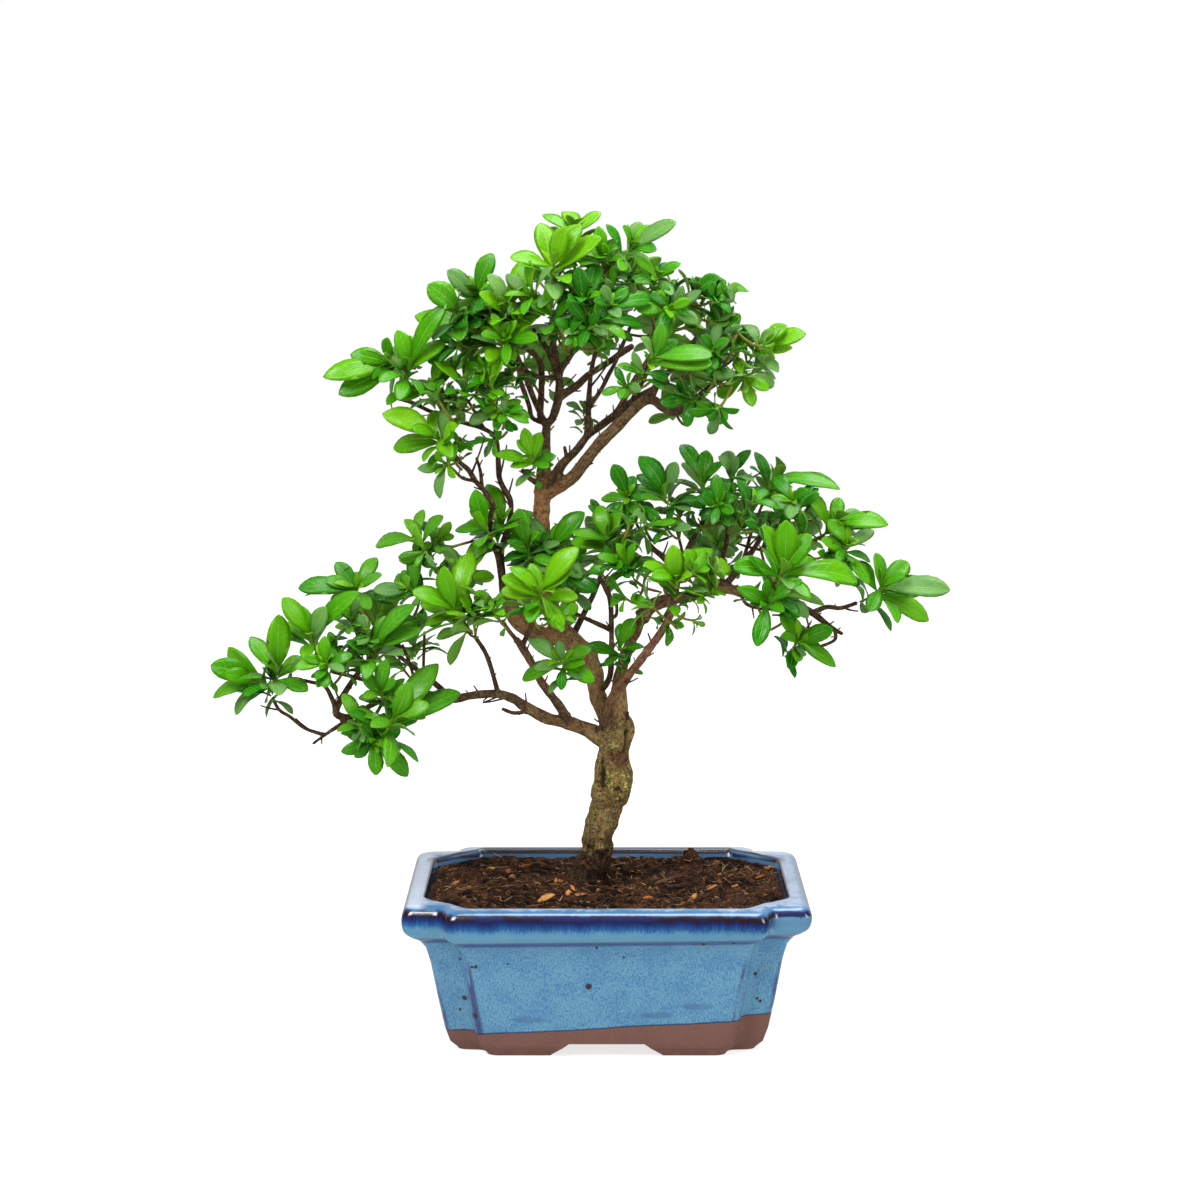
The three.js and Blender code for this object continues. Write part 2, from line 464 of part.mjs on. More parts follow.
function toSolid(geometry) {
  const bare = geometry.clone();
  bare.deleteAttribute('normal');
  bare.deleteAttribute('uv');
  const merged = mergeVertices(bare, 1e-5);
  return new Solid(new wasm.Mesh({
    numProp: 3,
    vertProperties: new Float32Array(merged.attributes.position.array),
    triVerts: new Uint32Array(merged.index.array),
  }));
}

function toGeometry(solid) {
  const mesh = solid.getMesh();
  const geometry = new THREE.BufferGeometry();
  geometry.setAttribute('position', new THREE.BufferAttribute(mesh.vertProperties, 3));
  geometry.setIndex(new THREE.BufferAttribute(mesh.triVerts, 1));
  return geometry;
}

function indexedGeometry(points, triangles) {
  const geometry = new THREE.BufferGeometry();
  geometry.setAttribute('position', new THREE.Float32BufferAttribute(points.flatMap((p) => p.toArray()), 3));
  geometry.setIndex(triangles);
  return geometry;
}

// A closed surface through rings of equal count, turning right-handed about the way they go
function loft(rings) {
  const count = rings[0].length;
  const points = rings.flat();
  const triangles = [];
  for (let ring = 0; ring < rings.length - 1; ring++) {
    for (let i = 0; i < count; i++) {
      const a = ring * count + i;
      const b = ring * count + (i + 1) % count;
      triangles.push(a, b, b + count, a, b + count, a + count);
    }
  }
  const last = (rings.length - 1) * count;
  const middle = (ring) => ring.reduce((sum, p) => sum.add(p), vec(0, 0, 0)).divideScalar(count);
  const start = points.push(middle(rings[0])) - 1;
  const end = points.push(middle(rings[rings.length - 1])) - 1;
  for (let i = 0; i < count; i++) {
    const next = (i + 1) % count;
    triangles.push(start, next, i, end, last + i, last + next);
  }
  return indexedGeometry(points, triangles);
}

// Frames carried along a path without twist: a point, the way on, and two directions across it
function carriedFrames(path) {
  const frames = [];
  let side = null;
  path.forEach((point, i) => {
    const before = path[Math.max(i - 1, 0)];
    const after = path[Math.min(i + 1, path.length - 1)];
    const on = after.clone().sub(before).normalize();
    const hint = side ?? (Math.abs(on.y) < 0.9 ? TO_VIEWER : UP);
    side = without(hint, on).normalize();
    frames.push({ point, on, side, other: on.clone().cross(side) });
  });
  return frames;
}

function tube(path, radii, sides, turn = 0) {
  const rings = carriedFrames(path).map(({ point, side, other }, index) => {
    const ring = [];
    for (let i = 0; i < sides; i++) {
      const angle = turn + (i / sides) * Math.PI * 2;
      ring.push(point.clone()
        .addScaledVector(side, Math.cos(angle) * radii[index])
        .addScaledVector(other, Math.sin(angle) * radii[index]));
    }
    return ring;
  });
  return loft(rings);
}

// The pot

// A rectangle with notched corners at one height, counter-clockwise from above
function plan(height, halfLength, halfWidth, notchLength, notchWidth, bite, rounding) {
  const panelEnd = new THREE.Vector2(halfLength - notchLength, halfWidth);
  const sideEnd = new THREE.Vector2(halfLength, halfWidth - notchWidth);
  const corner = new THREE.Vector2(halfLength - notchLength * bite, halfWidth - notchWidth * bite);
  const toPanel = panelEnd.clone().sub(corner).setLength(rounding);
  const toSide = sideEnd.clone().sub(corner).setLength(rounding);
  const quarter = [
    sideEnd.clone().add(new THREE.Vector2(0, -rounding)),
    sideEnd.clone().sub(toSide),
    corner.clone().add(toSide),
    corner.clone().add(toPanel),
    panelEnd.clone().sub(toPanel),
    panelEnd.clone().add(new THREE.Vector2(-rounding, 0)),
  ];
  const mirrored = (points, sx, sy) => points.map((p) => new THREE.Vector2(p.x * sx, p.y * sy));
  return [
    ...quarter,
    ...mirrored(quarter, -1, 1).reverse(),
    ...mirrored(quarter, -1, -1),
    ...mirrored(quarter, 1, -1).reverse(),
  ].map((p) => vec(p.x, p.y, height));
}

const outerPlan = (row) => plan(...row, OUTER_BITE, OUTER_ROUNDING);
const innerPlan = (row) => plan(...row, INNER_BITE, INNER_ROUNDING);

// A prism of trapezoid section, wide at the ground, for the arch between two feet
function archCutter({ top, bottom }, length) {
  const slope = (bottom - top) / 2 / FOOT_ARCH_HEIGHT;
  const low = bottom / 2 + slope;
  const section = new THREE.Shape([
    new THREE.Vector2(-low, -1), new THREE.Vector2(low, -1),
    new THREE.Vector2(top / 2, FOOT_ARCH_HEIGHT), new THREE.Vector2(-top / 2, FOOT_ARCH_HEIGHT),
  ]);
  const prism = new THREE.ExtrudeGeometry(section, { depth: length, bevelEnabled: false });
  return prism.translate(0, 0, -length / 2).rotateX(Math.PI / 2);
}

function makePot() {
  const [, footLength, footWidth, footNotch, footNotchWidth] = OUTER_PROFILE[0];
  const recess = [footLength - FOOT_RING_WIDTH, footWidth - FOOT_RING_WIDTH, footNotch, footNotchWidth];
  const rings = [
    innerPlan([RECESS_HEIGHT, ...recess]),
    innerPlan([0, ...recess]),
    ...OUTER_PROFILE.map(outerPlan),
    ...INNER_PROFILE.map(innerPlan),
  ];
  let body = toSolid(loft(rings));
  const reach = footLength * 3;
  const frontArch = archCutter(FRONT_ARCH, reach);
  const sideArch = archCutter(SIDE_ARCH, reach).rotateZ(Math.PI / 2);
  for (const arch of [frontArch, sideArch]) body = body.subtract(toSolid(arch));
  for (const side of [-1, 1]) {
    const drill = new THREE.CylinderGeometry(DRAIN_HOLE_RADIUS, DRAIN_HOLE_RADIUS, RECESS_HEIGHT * 3, 12);
    drill.rotateX(Math.PI / 2).translate(side * DRAIN_HOLE_ACROSS, 0, RECESS_HEIGHT * 1.5);
    body = body.subtract(toSolid(drill));
  }
  return toGeometry(body);
}

function floorHeight() {
  return INNER_PROFILE[INNER_PROFILE.length - 1][0];
}

function makeDrainScreen() {
  const { side, thickness, slots, slotWidth, slotLength } = DRAIN_SCREEN;
  let screen = toSolid(new THREE.BoxGeometry(side, side, thickness).translate(0, 0, thickness / 2));
  const pitch = side / (slots + 0.5);
  for (let i = 0; i < slots; i++) {
    const slot = new THREE.BoxGeometry(slotWidth, slotLength, thickness * 3);
    slot.translate((i - (slots - 1) / 2) * pitch, 0, 0);
    screen = screen.subtract(toSolid(slot));
  }
  return toGeometry(screen);
}

// The soil

// The cavity's plan at a height, drawn in by a gap
function cavityPlan(height, gap) {
  const below = INNER_PROFILE.findIndex((row) => row[0] <= height);
  const low = INNER_PROFILE[below];
  const high = INNER_PROFILE[Math.max(below - 1, 0)];
  const t = high === low ? 0 : (height - low[0]) / (high[0] - low[0]);
  const row = low.map((value, i) => value + (high[i] - value) * t);
  return innerPlan([height, row[1] - gap, row[2] - gap, row[3], row[4]]);
}

function soilHeight(x, y, lump) {
  const toMound = Math.hypot(x - SOIL_MOUND.x, y - SOIL_MOUND.y) / SOIL_MOUND.reach;
  const mound = SOIL_MOUND.height * Math.exp(-toMound * toMound);
  return SOIL_TOP - y * SOIL_FALL_TO_BACK + mound + lump * SOIL_LUMP;
}

function makeSoil(trunk) {
  const floor = floorHeight() + GAP;
  const edgeHeight = SOIL_TOP - SOIL_EDGE_DROP;
  const edge = cavityPlan(edgeHeight, GAP);
  const shoulder = INNER_PROFILE[2][0];
  const rings = [cavityPlan(floor, GAP), cavityPlan(shoulder, GAP), edge];
  SOIL_RING_SCALES.forEach((scale, ring) => {
    rings.push(edge.map((p, i) => {
      const x = p.x * scale;
      const y = p.y * scale;
      return vec(x, y, soilHeight(x, y, scatter(ring + 1, i) * 2 - 1));
    }));
  });
  let soil = toSolid(loft(rings));
  const hole = tube(trunk.path, trunk.radii.map((r) => r + GAP), trunk.sides);
  soil = soil.subtract(toSolid(hole));
  const rise = trunk.path[1].clone().sub(trunk.path[0]).normalize();
  const foot = trunk.path[0].clone().addScaledVector(rise, -GAP);
  const seat = tube([foot, trunk.path[1]], [trunk.radii[0] + GAP, trunk.radii[1] + GAP], trunk.sides);
  soil = soil.subtract(toSolid(seat));
  const pocketSide = DRAIN_SCREEN.side + GAP * 2;
  const pocketHeight = (DRAIN_SCREEN.thickness + GAP * 2) * 2;
  for (const side of [-1, 1]) {
    const pocket = new THREE.BoxGeometry(pocketSide, pocketSide, pocketHeight);
    pocket.translate(side * DRAIN_HOLE_ACROSS, 0, floorHeight());
    soil = soil.subtract(toSolid(pocket));
  }
  return toGeometry(soil);
}

// The wood

function sidesFor(radius) {
  if (radius > 6) return 8;
  if (radius > 3) return 6;
  if (radius > 1.6) return 5;
  return radius > 1.3 ? 4 : 3;
}

// A limb's middle line as closely spaced stations for whatever grows on it
function stationsAlong(limb) {
  const stations = [];
  for (let i = 0; i < limb.path.length - 1; i++) {
    const length = limb.path[i].distanceTo(limb.path[i + 1]);
    const steps = Math.max(Math.round(length / 2), 1);
    for (let step = 0; step < steps; step++) {
      const t = step / steps;
      stations.push(stationAt(limb, i, t));
    }
  }
  stations.push({ ...stationAt(limb, limb.path.length - 2, 1), isEnd: true });
  return stations;
}

function stationAt(limb, index, t) {
  const mix = (list) => list[index] + (list[index + 1] - list[index]) * t;
  const on = limb.path[index + 1].clone().sub(limb.path[index]).normalize();
  return {
    limb: limb.name,
    point: limb.path[index].clone().lerp(limb.path[index + 1], t),
    on,
    across: mix(limb.across),
    up: mix(limb.up),
    depth: mix(limb.depth),
    radius: mix(limb.radii),
    isEnd: false,
  };
}

function layOutLimb(name, across, up, depth, radii) {
  const path = across.map((value, i) => seen(value, up[i], depth[i]));
  const limb = { name, across, up, depth, radii, path, sides: sidesFor(Math.max(...radii)) };
  limb.stations = stationsAlong(limb);
  return limb;
}

function layOutLimbs() {
  const column = (index) => TRUNK.map((row) => row[index]);
  const limbs = new Map();
  limbs.set('trunk', layOutLimb('trunk', column(0), column(1), column(2), column(3)));
  for (const [name, carrier, depths, radii, path] of LIMBS) {
    const across = path.filter((_, i) => i % 2 === 0);
    const up = path.filter((_, i) => i % 2 === 1);
    const away = (station) => Math.hypot(station.across - across[0], station.up - up[0]);
    const start = limbs.get(carrier).stations.reduce((a, b) => (away(b) < away(a) ? b : a));
    across[0] = start.across;
    up[0] = start.up;
    const last = across.length - 1;
    const depth = across.map((_, i) => ramp([start.depth, ...depths], i / last));
    const widths = across.map((_, i) => ramp(radii, i / last));
    limbs.set(name, layOutLimb(name, across, up, depth, widths));
  }
  return limbs;
}

function limbTube(limb, extra = 0) {
  return tube(limb.path, limb.radii.map((r) => r + extra), limb.sides);
}

function makeWood(limbs) {
  const tubes = [...limbs.values()].map((limb) => toSolid(limbTube(limb)));
  return toGeometry(Solid.union(tubes).simplify(JOINT_TOLERANCE));
}

// Clearance: solids that later pieces must stay out of

function touches(box, other) {
  return [0, 1, 2].every((k) => box.min[k] <= other.max[k] && other.min[k] <= box.max[k]);
}

function crosses(solid, obstacles) {
  const box = solid.boundingBox();
  return obstacles.some((obstacle) => {
    if (!touches(box, obstacle.box)) return false;
    const common = solid.intersect(obstacle.solid);
    const volume = common.volume();
    common.delete();
    return volume > LEAST_OVERLAP;
  });
}

function obstacle(geometry, owner) {
  const solid = toSolid(geometry);
  return { solid, box: solid.boundingBox(), owner };
}

// Sprays of leaves

// Rings of three points along a stem, each turned by a sixth from the one before
function stemRings(path, radii) {
  return carriedFrames(path).map(({ point, side, other }, index) => {
    const turn = (index % 2) * (Math.PI / 3);
    return [0, 1, 2].map((i) => {
      const angle = turn + (i * Math.PI * 2) / 3;
      return point.clone()
        .addScaledVector(side, Math.cos(angle) * radii[index])
        .addScaledVector(other, Math.sin(angle) * radii[index]);
    });
  });
}

// A stem's surface as points and triangular faces, with the faces of its last whorl marked as buds
function stemSurface(path, radii, whorlRings) {
  const rings = stemRings(path, radii);
  const points = rings.flat();
  const faces = [{ corners: [0, 2, 1], bud: false }];
  for (let ring = 0; ring < rings.length - 1; ring++) {
    const bud = ring >= rings.length - 1 - whorlRings;
    const even = ring % 2 === 0;
    for (let i = 0; i < 3; i++) {
      const next = (i + 1) % 3;
      const low = ring * 3;
      const high = low + 3;
      if (even) {
        faces.push({ corners: [low + i, low + next, high + i], bud });
        faces.push({ corners: [high + i, low + next, high + next], bud });
      } else {
        faces.push({ corners: [low + i, high + next, high + i], bud });
        faces.push({ corners: [low + i, low + next, high + next], bud });
      }
    }
  }
  const last = (rings.length - 1) * 3;
  faces.push({ corners: [last, last + 1, last + 2], bud: true });
  for (const face of faces) {
    const [a, b, c] = face.corners.map((k) => points[k]);
    face.middle = a.clone().add(b).add(c).divideScalar(3);
    face.normal = b.clone().sub(a).cross(c.clone().sub(a)).normalize();
  }
  return { points, faces };
}

// The rings of a leaf from its root to its tip: right edge, keel, left edge
function leafRings(root, tip, upper, halfWidth, spare = 0) {
  const on = tip.clone().sub(root);
  const length = on.length();
  on.normalize();
  const normal = without(upper, on).normalize();
  const side = on.clone().cross(normal);
  return LEAF_STATIONS.map(({ along, width }) => {
    const middle = root.clone().lerp(tip, along)
      .addScaledVector(normal, LEAF_ARCH * length * 4 * along * (1 - along) + spare);
    const half = halfWidth * width + spare;
    return [
      middle.clone().addScaledVector(side, half),
      middle.clone().addScaledVector(normal, -LEAF_KEEL - spare * 3),
      middle.clone().addScaledVector(side, -half),
    ];
  });
}

// The order of a face's corners that twists a leaf least
function untwisted(corners, points, middle, ring) {
  const ringMiddle = ring[0].clone().add(ring[1]).add(ring[2]).divideScalar(3);
  const fit = (shift) => ring.reduce((sum, p, i) => {
    const from = points[corners[(i + shift) % 3]].clone().sub(middle).normalize();
    return sum + from.dot(p.clone().sub(ringMiddle).normalize());
  }, 0);
  const best = [0, 1, 2].reduce((a, b) => (fit(b) > fit(a) ? b : a));
  return [0, 1, 2].map((i) => corners[(i + best) % 3]);
}

// Adds a leaf's rings and tip to a list of points, and gives its faces from the three points of its root
function leafFaces(points, root, rings, tip) {
  const faces = [];
  let low = root;
  for (const ring of rings) {
    const high = ring.map((p) => points.push(p) - 1);
    for (let i = 0; i < 3; i++) {
      const next = (i + 1) % 3;
      faces.push(low[i], low[next], high[next], low[i], high[next], high[i]);
    }
    low = high;
  }
  const end = points.push(tip) - 1;
  for (let i = 0; i < 3; i++) faces.push(low[i], low[(i + 1) % 3], end);
  return faces;
}

// A leaf by itself, as a closed solid, from a fraction of its length outward
function leafSolid(leaf, spare, from) {
  const { root, tip, upper, halfWidth, base } = leaf;
  const rings = leafRings(root, tip, upper, halfWidth, spare);
  const start = base.map((p, i) => p.clone().lerp(rings[0][i], from));
  const on = tip.clone().sub(root).normalize();
  const point = tip.clone().addScaledVector(on, spare);
  const points = [...start];
  const triangles = [0, 2, 1, ...leafFaces(points, [0, 1, 2], rings, point)];
  return indexedGeometry(points, triangles);
}

// How far behind its whorl a leaf's tip lies, for the length that its picture leaves out
function depthOfTip(whorl, across, up, index) {
  const shown = Math.hypot(across - whorl.across, up - whorl.up);
  const length = Math.max(shown * LENGTH_ALLOWANCE, whorl.leafLength * LEAST_SHOWN_LENGTH);
  const hidden = Math.sqrt(Math.max(length * length - shown * shown, 0));
  const towards = scatter(whorl.across + index, whorl.up) < SHARE_TOWARDS_VIEWER ? -1 : 1;
  return towards * hidden;
}

// The tips of a whorl's leaves as the front view gives them
function tipsFromView(whorl, tips) {
  const places = [];
  for (let i = 0; i < tips.length; i += 2) {
    const depth = whorl.depth + depthOfTip(whorl, tips[i], tips[i + 1], i / 2);
    places.push(seen(tips[i], tips[i + 1], depth));
  }
  return places;
}

// Leaf tips that no picture gives, fanned out by the golden angle about a whorl's axis
function tipsByRule(whorl, axis, count) {
  const middle = seen(whorl.across, whorl.up, whorl.depth);
  const side = without(UP, axis).normalize();
  const other = axis.clone().cross(side);
  const places = [];
  for (let i = 0; i < count; i++) {
    const angle = i * GOLDEN_ANGLE + scatter(whorl.across, i);
    const lean = RULE_LEAN.least + RULE_LEAN.spread * scatter(i, whorl.up);
    const length = whorl.leafLength * (RULE_LENGTH.least + RULE_LENGTH.spread * scatter(whorl.up, i));
    const way = axis.clone().multiplyScalar(Math.cos(lean))
      .addScaledVector(side, Math.cos(angle) * Math.sin(lean))
      .addScaledVector(other, Math.sin(angle) * Math.sin(lean));
    places.push(middle.clone().addScaledVector(way, length));
  }
  return places;
}

function readWhorl([across, up, depth, leafLength, colour, tips]) {
  const whorl = { across, up, depth, leafLength, colour };
  whorl.middle = seen(across, up, depth);
  if (tips) {
    whorl.tips = tipsFromView(whorl, tips);
    const ways = whorl.tips.map((tip) => tip.clone().sub(whorl.middle).normalize());
    const mean = ways.reduce((sum, way) => sum.add(way), vec(0, 0, 0)).divideScalar(ways.length);
    whorl.axis = mean.addScaledVector(UP, AXIS_RISE).addScaledVector(TO_VIEWER, AXIS_TO_VIEWER).normalize();
    whorl.tips.push(...tipsByRule(whorl, whorl.axis, FEWEST_LEAVES - whorl.tips.length));
    whorl.upper = whorl.axis.clone().addScaledVector(TO_VIEWER, UPPER_TO_VIEWER).normalize();
  } else {
    const { spread, from, back, rise } = BACK_AXIS;
    whorl.axis = vec((across - from) * spread, back, rise).normalize();
    whorl.tips = tipsByRule(whorl, whorl.axis, BACK_WHORL_LEAVES);
    whorl.upper = whorl.axis;
  }
  return whorl;
}

// A stem's path from where it leaves its carrier to its whorl's end
function stemPath(start, leaving, whorl) {
  const distance = start.distanceTo(whorl.middle);
  const middle = whorl.middle.clone();
  if (distance < WHORL_LENGTH + 2) middle.addScaledVector(whorl.axis, WHORL_LENGTH + 2 - distance);
  const end = middle.clone().addScaledVector(whorl.axis, -WHORL_LENGTH / 2);
  const run = start.distanceTo(end);
  const curve = new THREE.CubicBezierCurve3(
    start,
    start.clone().addScaledVector(leaving, run * STEM_EASE),
    end.clone().addScaledVector(whorl.axis, -run * STEM_EASE),
    end,
  );
  const steps = Math.max(Math.round(run / STEM_STEP), 1);
  const path = curve.getPoints(steps);
  for (const part of WHORL_STATIONS) {
    path.push(end.clone().addScaledVector(whorl.axis, WHORL_LENGTH * part));
  }
  return path;
}

function stemRadii(path) {
  const last = path.length - 1;
  return path.map((_, i) => (i === last ? STEM_TIP_RADIUS : STEM_RADIUS));
}

// Where a stem can leave the wood for a whorl, nearest first
function seatsOnWood(stations, whorl) {
  return stations
    .map((station) => {
      const reach = whorl.middle.clone().sub(station.point);
      const leaving = station.isEnd ? station.on.clone() : without(reach, station.on).normalize();
      const offset = station.isEnd ? GAP : station.radius + GAP;
      const start = station.point.clone().addScaledVector(leaving, offset);
      return { start, leaving, distance: start.distanceTo(whorl.middle) };
    })
    .sort((a, b) => a.distance - b.distance);
}

// Where a stem can fork from an earlier stem of its own spray
function seatsOnStem(path, whorl) {
  const seats = [];
  for (let i = 0; i < path.length - 1 - WHORL_STATIONS.length; i++) {
    for (const t of [0.3, 0.7]) {
      const start = path[i].clone().lerp(path[i + 1], t);
      const leaving = whorl.middle.clone().sub(start).normalize();
      seats.push({ start, leaving, distance: start.distanceTo(whorl.middle) });
    }
  }
  return seats.sort((a, b) => a.distance - b.distance);
}

function placeStem(seats, whorl, obstacles) {
  for (const seat of seats.slice(0, MOST_SEATS_TRIED)) {
    const path = stemPath(seat.start, seat.leaving, whorl);
    const radii = stemRadii(path);
    const solid = toSolid(tube(path, radii, 3));
    const blocked = crosses(solid, obstacles);
    solid.delete();
    if (!blocked) return { path, radii, whorl };
  }
  return null;
}

// Turns of a leaf about its root that are tried in order until it lies clear: swing is about the vertical
// and dip is about the level line across the leaf, both in degrees, and size scales its length
const LEAF_TRIES = [
  [0, 0, 1], [14, 0, 1], [-14, 0, 1], [0, 10, 1], [0, -10, 1], [26, 0, 0.97], [-26, 0, 0.97],
  [14, 12, 0.95], [-14, 12, 0.95], [14, -12, 0.95], [-14, -12, 0.95], [38, 0, 0.92], [-38, 0, 0.92],
  [0, 20, 0.9], [0, -20, 0.9], [24, 16, 0.85], [-24, 16, 0.85], [24, -16, 0.8], [-24, -16, 0.8],
];

function turnedTip(root, tip, [swing, dip, size]) {
  const way = tip.clone().sub(root).multiplyScalar(size);
  const level = way.clone().cross(UP);
  if (level.lengthSq() < 1e-6) level.set(1, 0, 0);
  way.applyAxisAngle(level.normalize(), THREE.MathUtils.degToRad(dip));
  way.applyAxisAngle(UP, THREE.MathUtils.degToRad(swing));
  return root.clone().add(way);
}

// Leaves grown from the bud faces of a whorl, each from the face that looks its way
function placeLeaves(whorl, surface, stem, obstacles) {
  const free = new Set(surface.faces.filter((face) => face.bud));
  const own = [];
  const stemBody = [obstacle(tube(stem.path, stem.radii, 3), whorl)];
  const order = whorl.tips.map((tip, index) => ({ tip, index }))
    .sort((a, b) => b.tip.distanceTo(whorl.middle) - a.tip.distanceTo(whorl.middle));
  for (const { tip } of order) {
    const wayTo = (face) => tip.clone().sub(face.middle).normalize();
    const faces = [...free].sort((a, b) => wayTo(b).dot(b.normal) - wayTo(a).dot(a.normal)).slice(0, 3);
    const leaf = firstClearLeaf(whorl, surface, faces, tip, own, stemBody, obstacles);
    if (!leaf) continue;
    free.delete(leaf.face);
    own.push(leaf);
  }
  return own;
}

function firstClearLeaf(whorl, surface, faces, tip, own, stemBody, obstacles) {
  for (const attempt of LEAF_TRIES) {
    for (const face of faces) {
      const end = turnedTip(face.middle, tip, attempt);
      const length = end.distanceTo(face.middle);
      if (end.clone().sub(face.middle).normalize().dot(face.normal) < LEAST_FACING) continue;
      const halfWidth = Math.min(length, whorl.leafLength) * LEAF_HALF_WIDTH;
      const leaf = { face, root: face.middle, tip: end, upper: whorl.upper, halfWidth };
      const rings = leafRings(leaf.root, leaf.tip, leaf.upper, halfWidth);
      leaf.corners = untwisted(face.corners, surface.points, face.middle, rings[0]);
      leaf.base = leaf.corners.map((k) => surface.points[k]);
      leaf.rings = rings;
      if (leafIsClear(leaf, own, stemBody, obstacles)) return leaf;
    }
  }
  return null;
}

function leafIsClear(leaf, own, stemBody, obstacles) {
  const guard = toSolid(leafSolid(leaf, LEAF_CLEARANCE, 0));
  const blocked = crosses(guard, obstacles);
  guard.delete();
  if (blocked) return false;
  const outer = toSolid(leafSolid(leaf, 0, LEAF_ROOT_SHARE));
  const clashes = crosses(outer, own.map((other) => other.outer)) || crosses(outer, stemBody);
  if (clashes) {
    outer.delete();
    return false;
  }
  leaf.outer = { solid: outer, box: outer.boundingBox() };
  return true;
}

// The stem's surface with each leaf's rings and tip in place of the face that it grows from
function whorlGeometry(surface, leaves) {
  const points = [...surface.points];
  const taken = new Set(leaves.map((leaf) => leaf.face));
  const triangles = surface.faces.filter((face) => !taken.has(face)).flatMap((face) => face.corners);
  for (const leaf of leaves) triangles.push(...leafFaces(points, leaf.corners, leaf.rings, leaf.tip));
  return indexedGeometry(points, triangles);
}

// Every spray's stems are placed before any leaf, so that no leaf takes a stem's way
function placeStems(sprays, limbs, obstacles) {
  const stations = [...limbs.values()].flatMap((limb) => limb.stations);
  for (const spray of sprays) {
    spray.stems = [];
    for (const whorl of spray.whorls) {
      const forks = spray.stems.flatMap((stem) => seatsOnStem(stem.path, whorl));
      const seats = spray.stems.length ? forks.sort((a, b) => a.distance - b.distance)
        : seatsOnWood(stations, whorl);
      const others = obstacles.filter((item) => item.owner !== spray.name);
      const stem = placeStem(seats, whorl, others);
      if (!stem) continue;
      spray.stems.push(stem);
      obstacles.push(obstacle(tube(stem.path, stem.radii.map((r) => r + STEM_RELIEF), 3), spray.name));
    }
  }
}

function growLeaves(sprays, obstacles) {
  for (const spray of sprays) {
    const parts = [];
    const others = obstacles.filter((item) => item.owner !== spray.name);
    for (const stem of spray.stems) {
      const surface = stemSurface(stem.path, stem.radii, WHORL_STATIONS.length);
      const leaves = placeLeaves(stem.whorl, surface, stem, others);
      parts.push(toSolid(whorlGeometry(surface, leaves)));
      for (const leaf of leaves) obstacles.push(obstacle(leafSolid(leaf, 0, 0), spray.name));
    }
    spray.geometry = toGeometry(parts.length > 1 ? Solid.union(parts).simplify(JOINT_TOLERANCE) : parts[0]);
  }
}

function makeSprays(limbs) {
  const tables = [...Object.entries(SPRAYS), ...Object.entries(BACK_SPRAYS)];
  const sprays = tables.map(([name, rows]) => ({ name, whorls: rows.map(readWhorl) }));
  const obstacles = [...limbs.values()].map((limb) => obstacle(limbTube(limb, STEM_RELIEF / 2), 'wood'));
  placeStems(sprays, limbs, obstacles);
  growLeaves(sprays, obstacles);
  return sprays;
}

// The whole object

function material(colour, roughness) {
  return new THREE.MeshStandardMaterial({ color: COLOURS[colour], roughness, metalness: 0 });
}

function addMesh(group, name, geometry, finish) {
  const mesh = new THREE.Mesh(geometry, finish);
  mesh.name = name;
  group.add(mesh);
  return mesh;
}

function makeBonsai() {
  const bonsai = new THREE.Group();
  const limbs = layOutLimbs();
  addMesh(bonsai, 'pot', makePot(), material('glaze', 0.2));
  addMesh(bonsai, 'soil', makeSoil(limbs.get('trunk')), material('soil', 1));
  for (const [name, side] of [['drain_screen_left', -1], ['drain_screen_right', 1]]) {
    const screen = addMesh(bonsai, name, makeDrainScreen(), material('screen', 0.6));
    screen.position.set(side * DRAIN_HOLE_ACROSS, 0, floorHeight() + GAP);
  }
  addMesh(bonsai, 'trunk_and_branches', makeWood(limbs), material('bark', 0.9));
  for (const spray of makeSprays(limbs)) {
    addMesh(bonsai, spray.name, spray.geometry, material(spray.whorls[0].colour, 0.4));
  }
  const box = new THREE.Box3().setFromObject(bonsai, true);
  bonsai.position.set(-(box.min.x + box.max.x) / 2, -(box.min.y + box.max.y) / 2, -box.min.z);
  bonsai.updateMatrixWorld(true);
  return bonsai;
}

export default makeBonsai();
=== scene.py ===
"""The looks of a satsuki azalea bonsai in its glazed pot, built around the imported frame.

Shapes are worked out in millimetres round the middle of the pot's underside. Blender gets them in metres.
"""

import json
import math

import bpy
import numpy as np
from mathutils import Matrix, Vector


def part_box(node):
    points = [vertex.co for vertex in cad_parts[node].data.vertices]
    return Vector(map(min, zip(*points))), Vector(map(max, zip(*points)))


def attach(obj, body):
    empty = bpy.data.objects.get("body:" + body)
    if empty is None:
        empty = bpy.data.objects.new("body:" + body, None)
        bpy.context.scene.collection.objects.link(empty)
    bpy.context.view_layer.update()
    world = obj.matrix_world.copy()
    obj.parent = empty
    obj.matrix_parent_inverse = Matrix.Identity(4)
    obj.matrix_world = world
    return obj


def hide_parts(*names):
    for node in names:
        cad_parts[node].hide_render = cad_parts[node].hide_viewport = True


# The photograph's view: how far away the camera is, how far it looks down and where it aims. Places read
# from the photograph are across and up on a sheet square to the view, which meets its middle at AIM_UP.
# Then the photograph's side, its pixels to a millimetre of that sheet, the pixel where across and up are
# 0, and the camera's focal length in pixels

VIEW_DISTANCE = 1610
VIEW_PITCH = math.radians(7.4)
VIEW_AIM = np.array([-3.25, 0, 218.7])
AIM_UP = 228
PHOTO_SIDE = 1200
PIXELS_TO_MILLIMETRE = 2
PHOTO_ORIGIN = (606.5, 1056)
FOCAL_PIXELS = 3220
SENSOR_WIDTH = 36

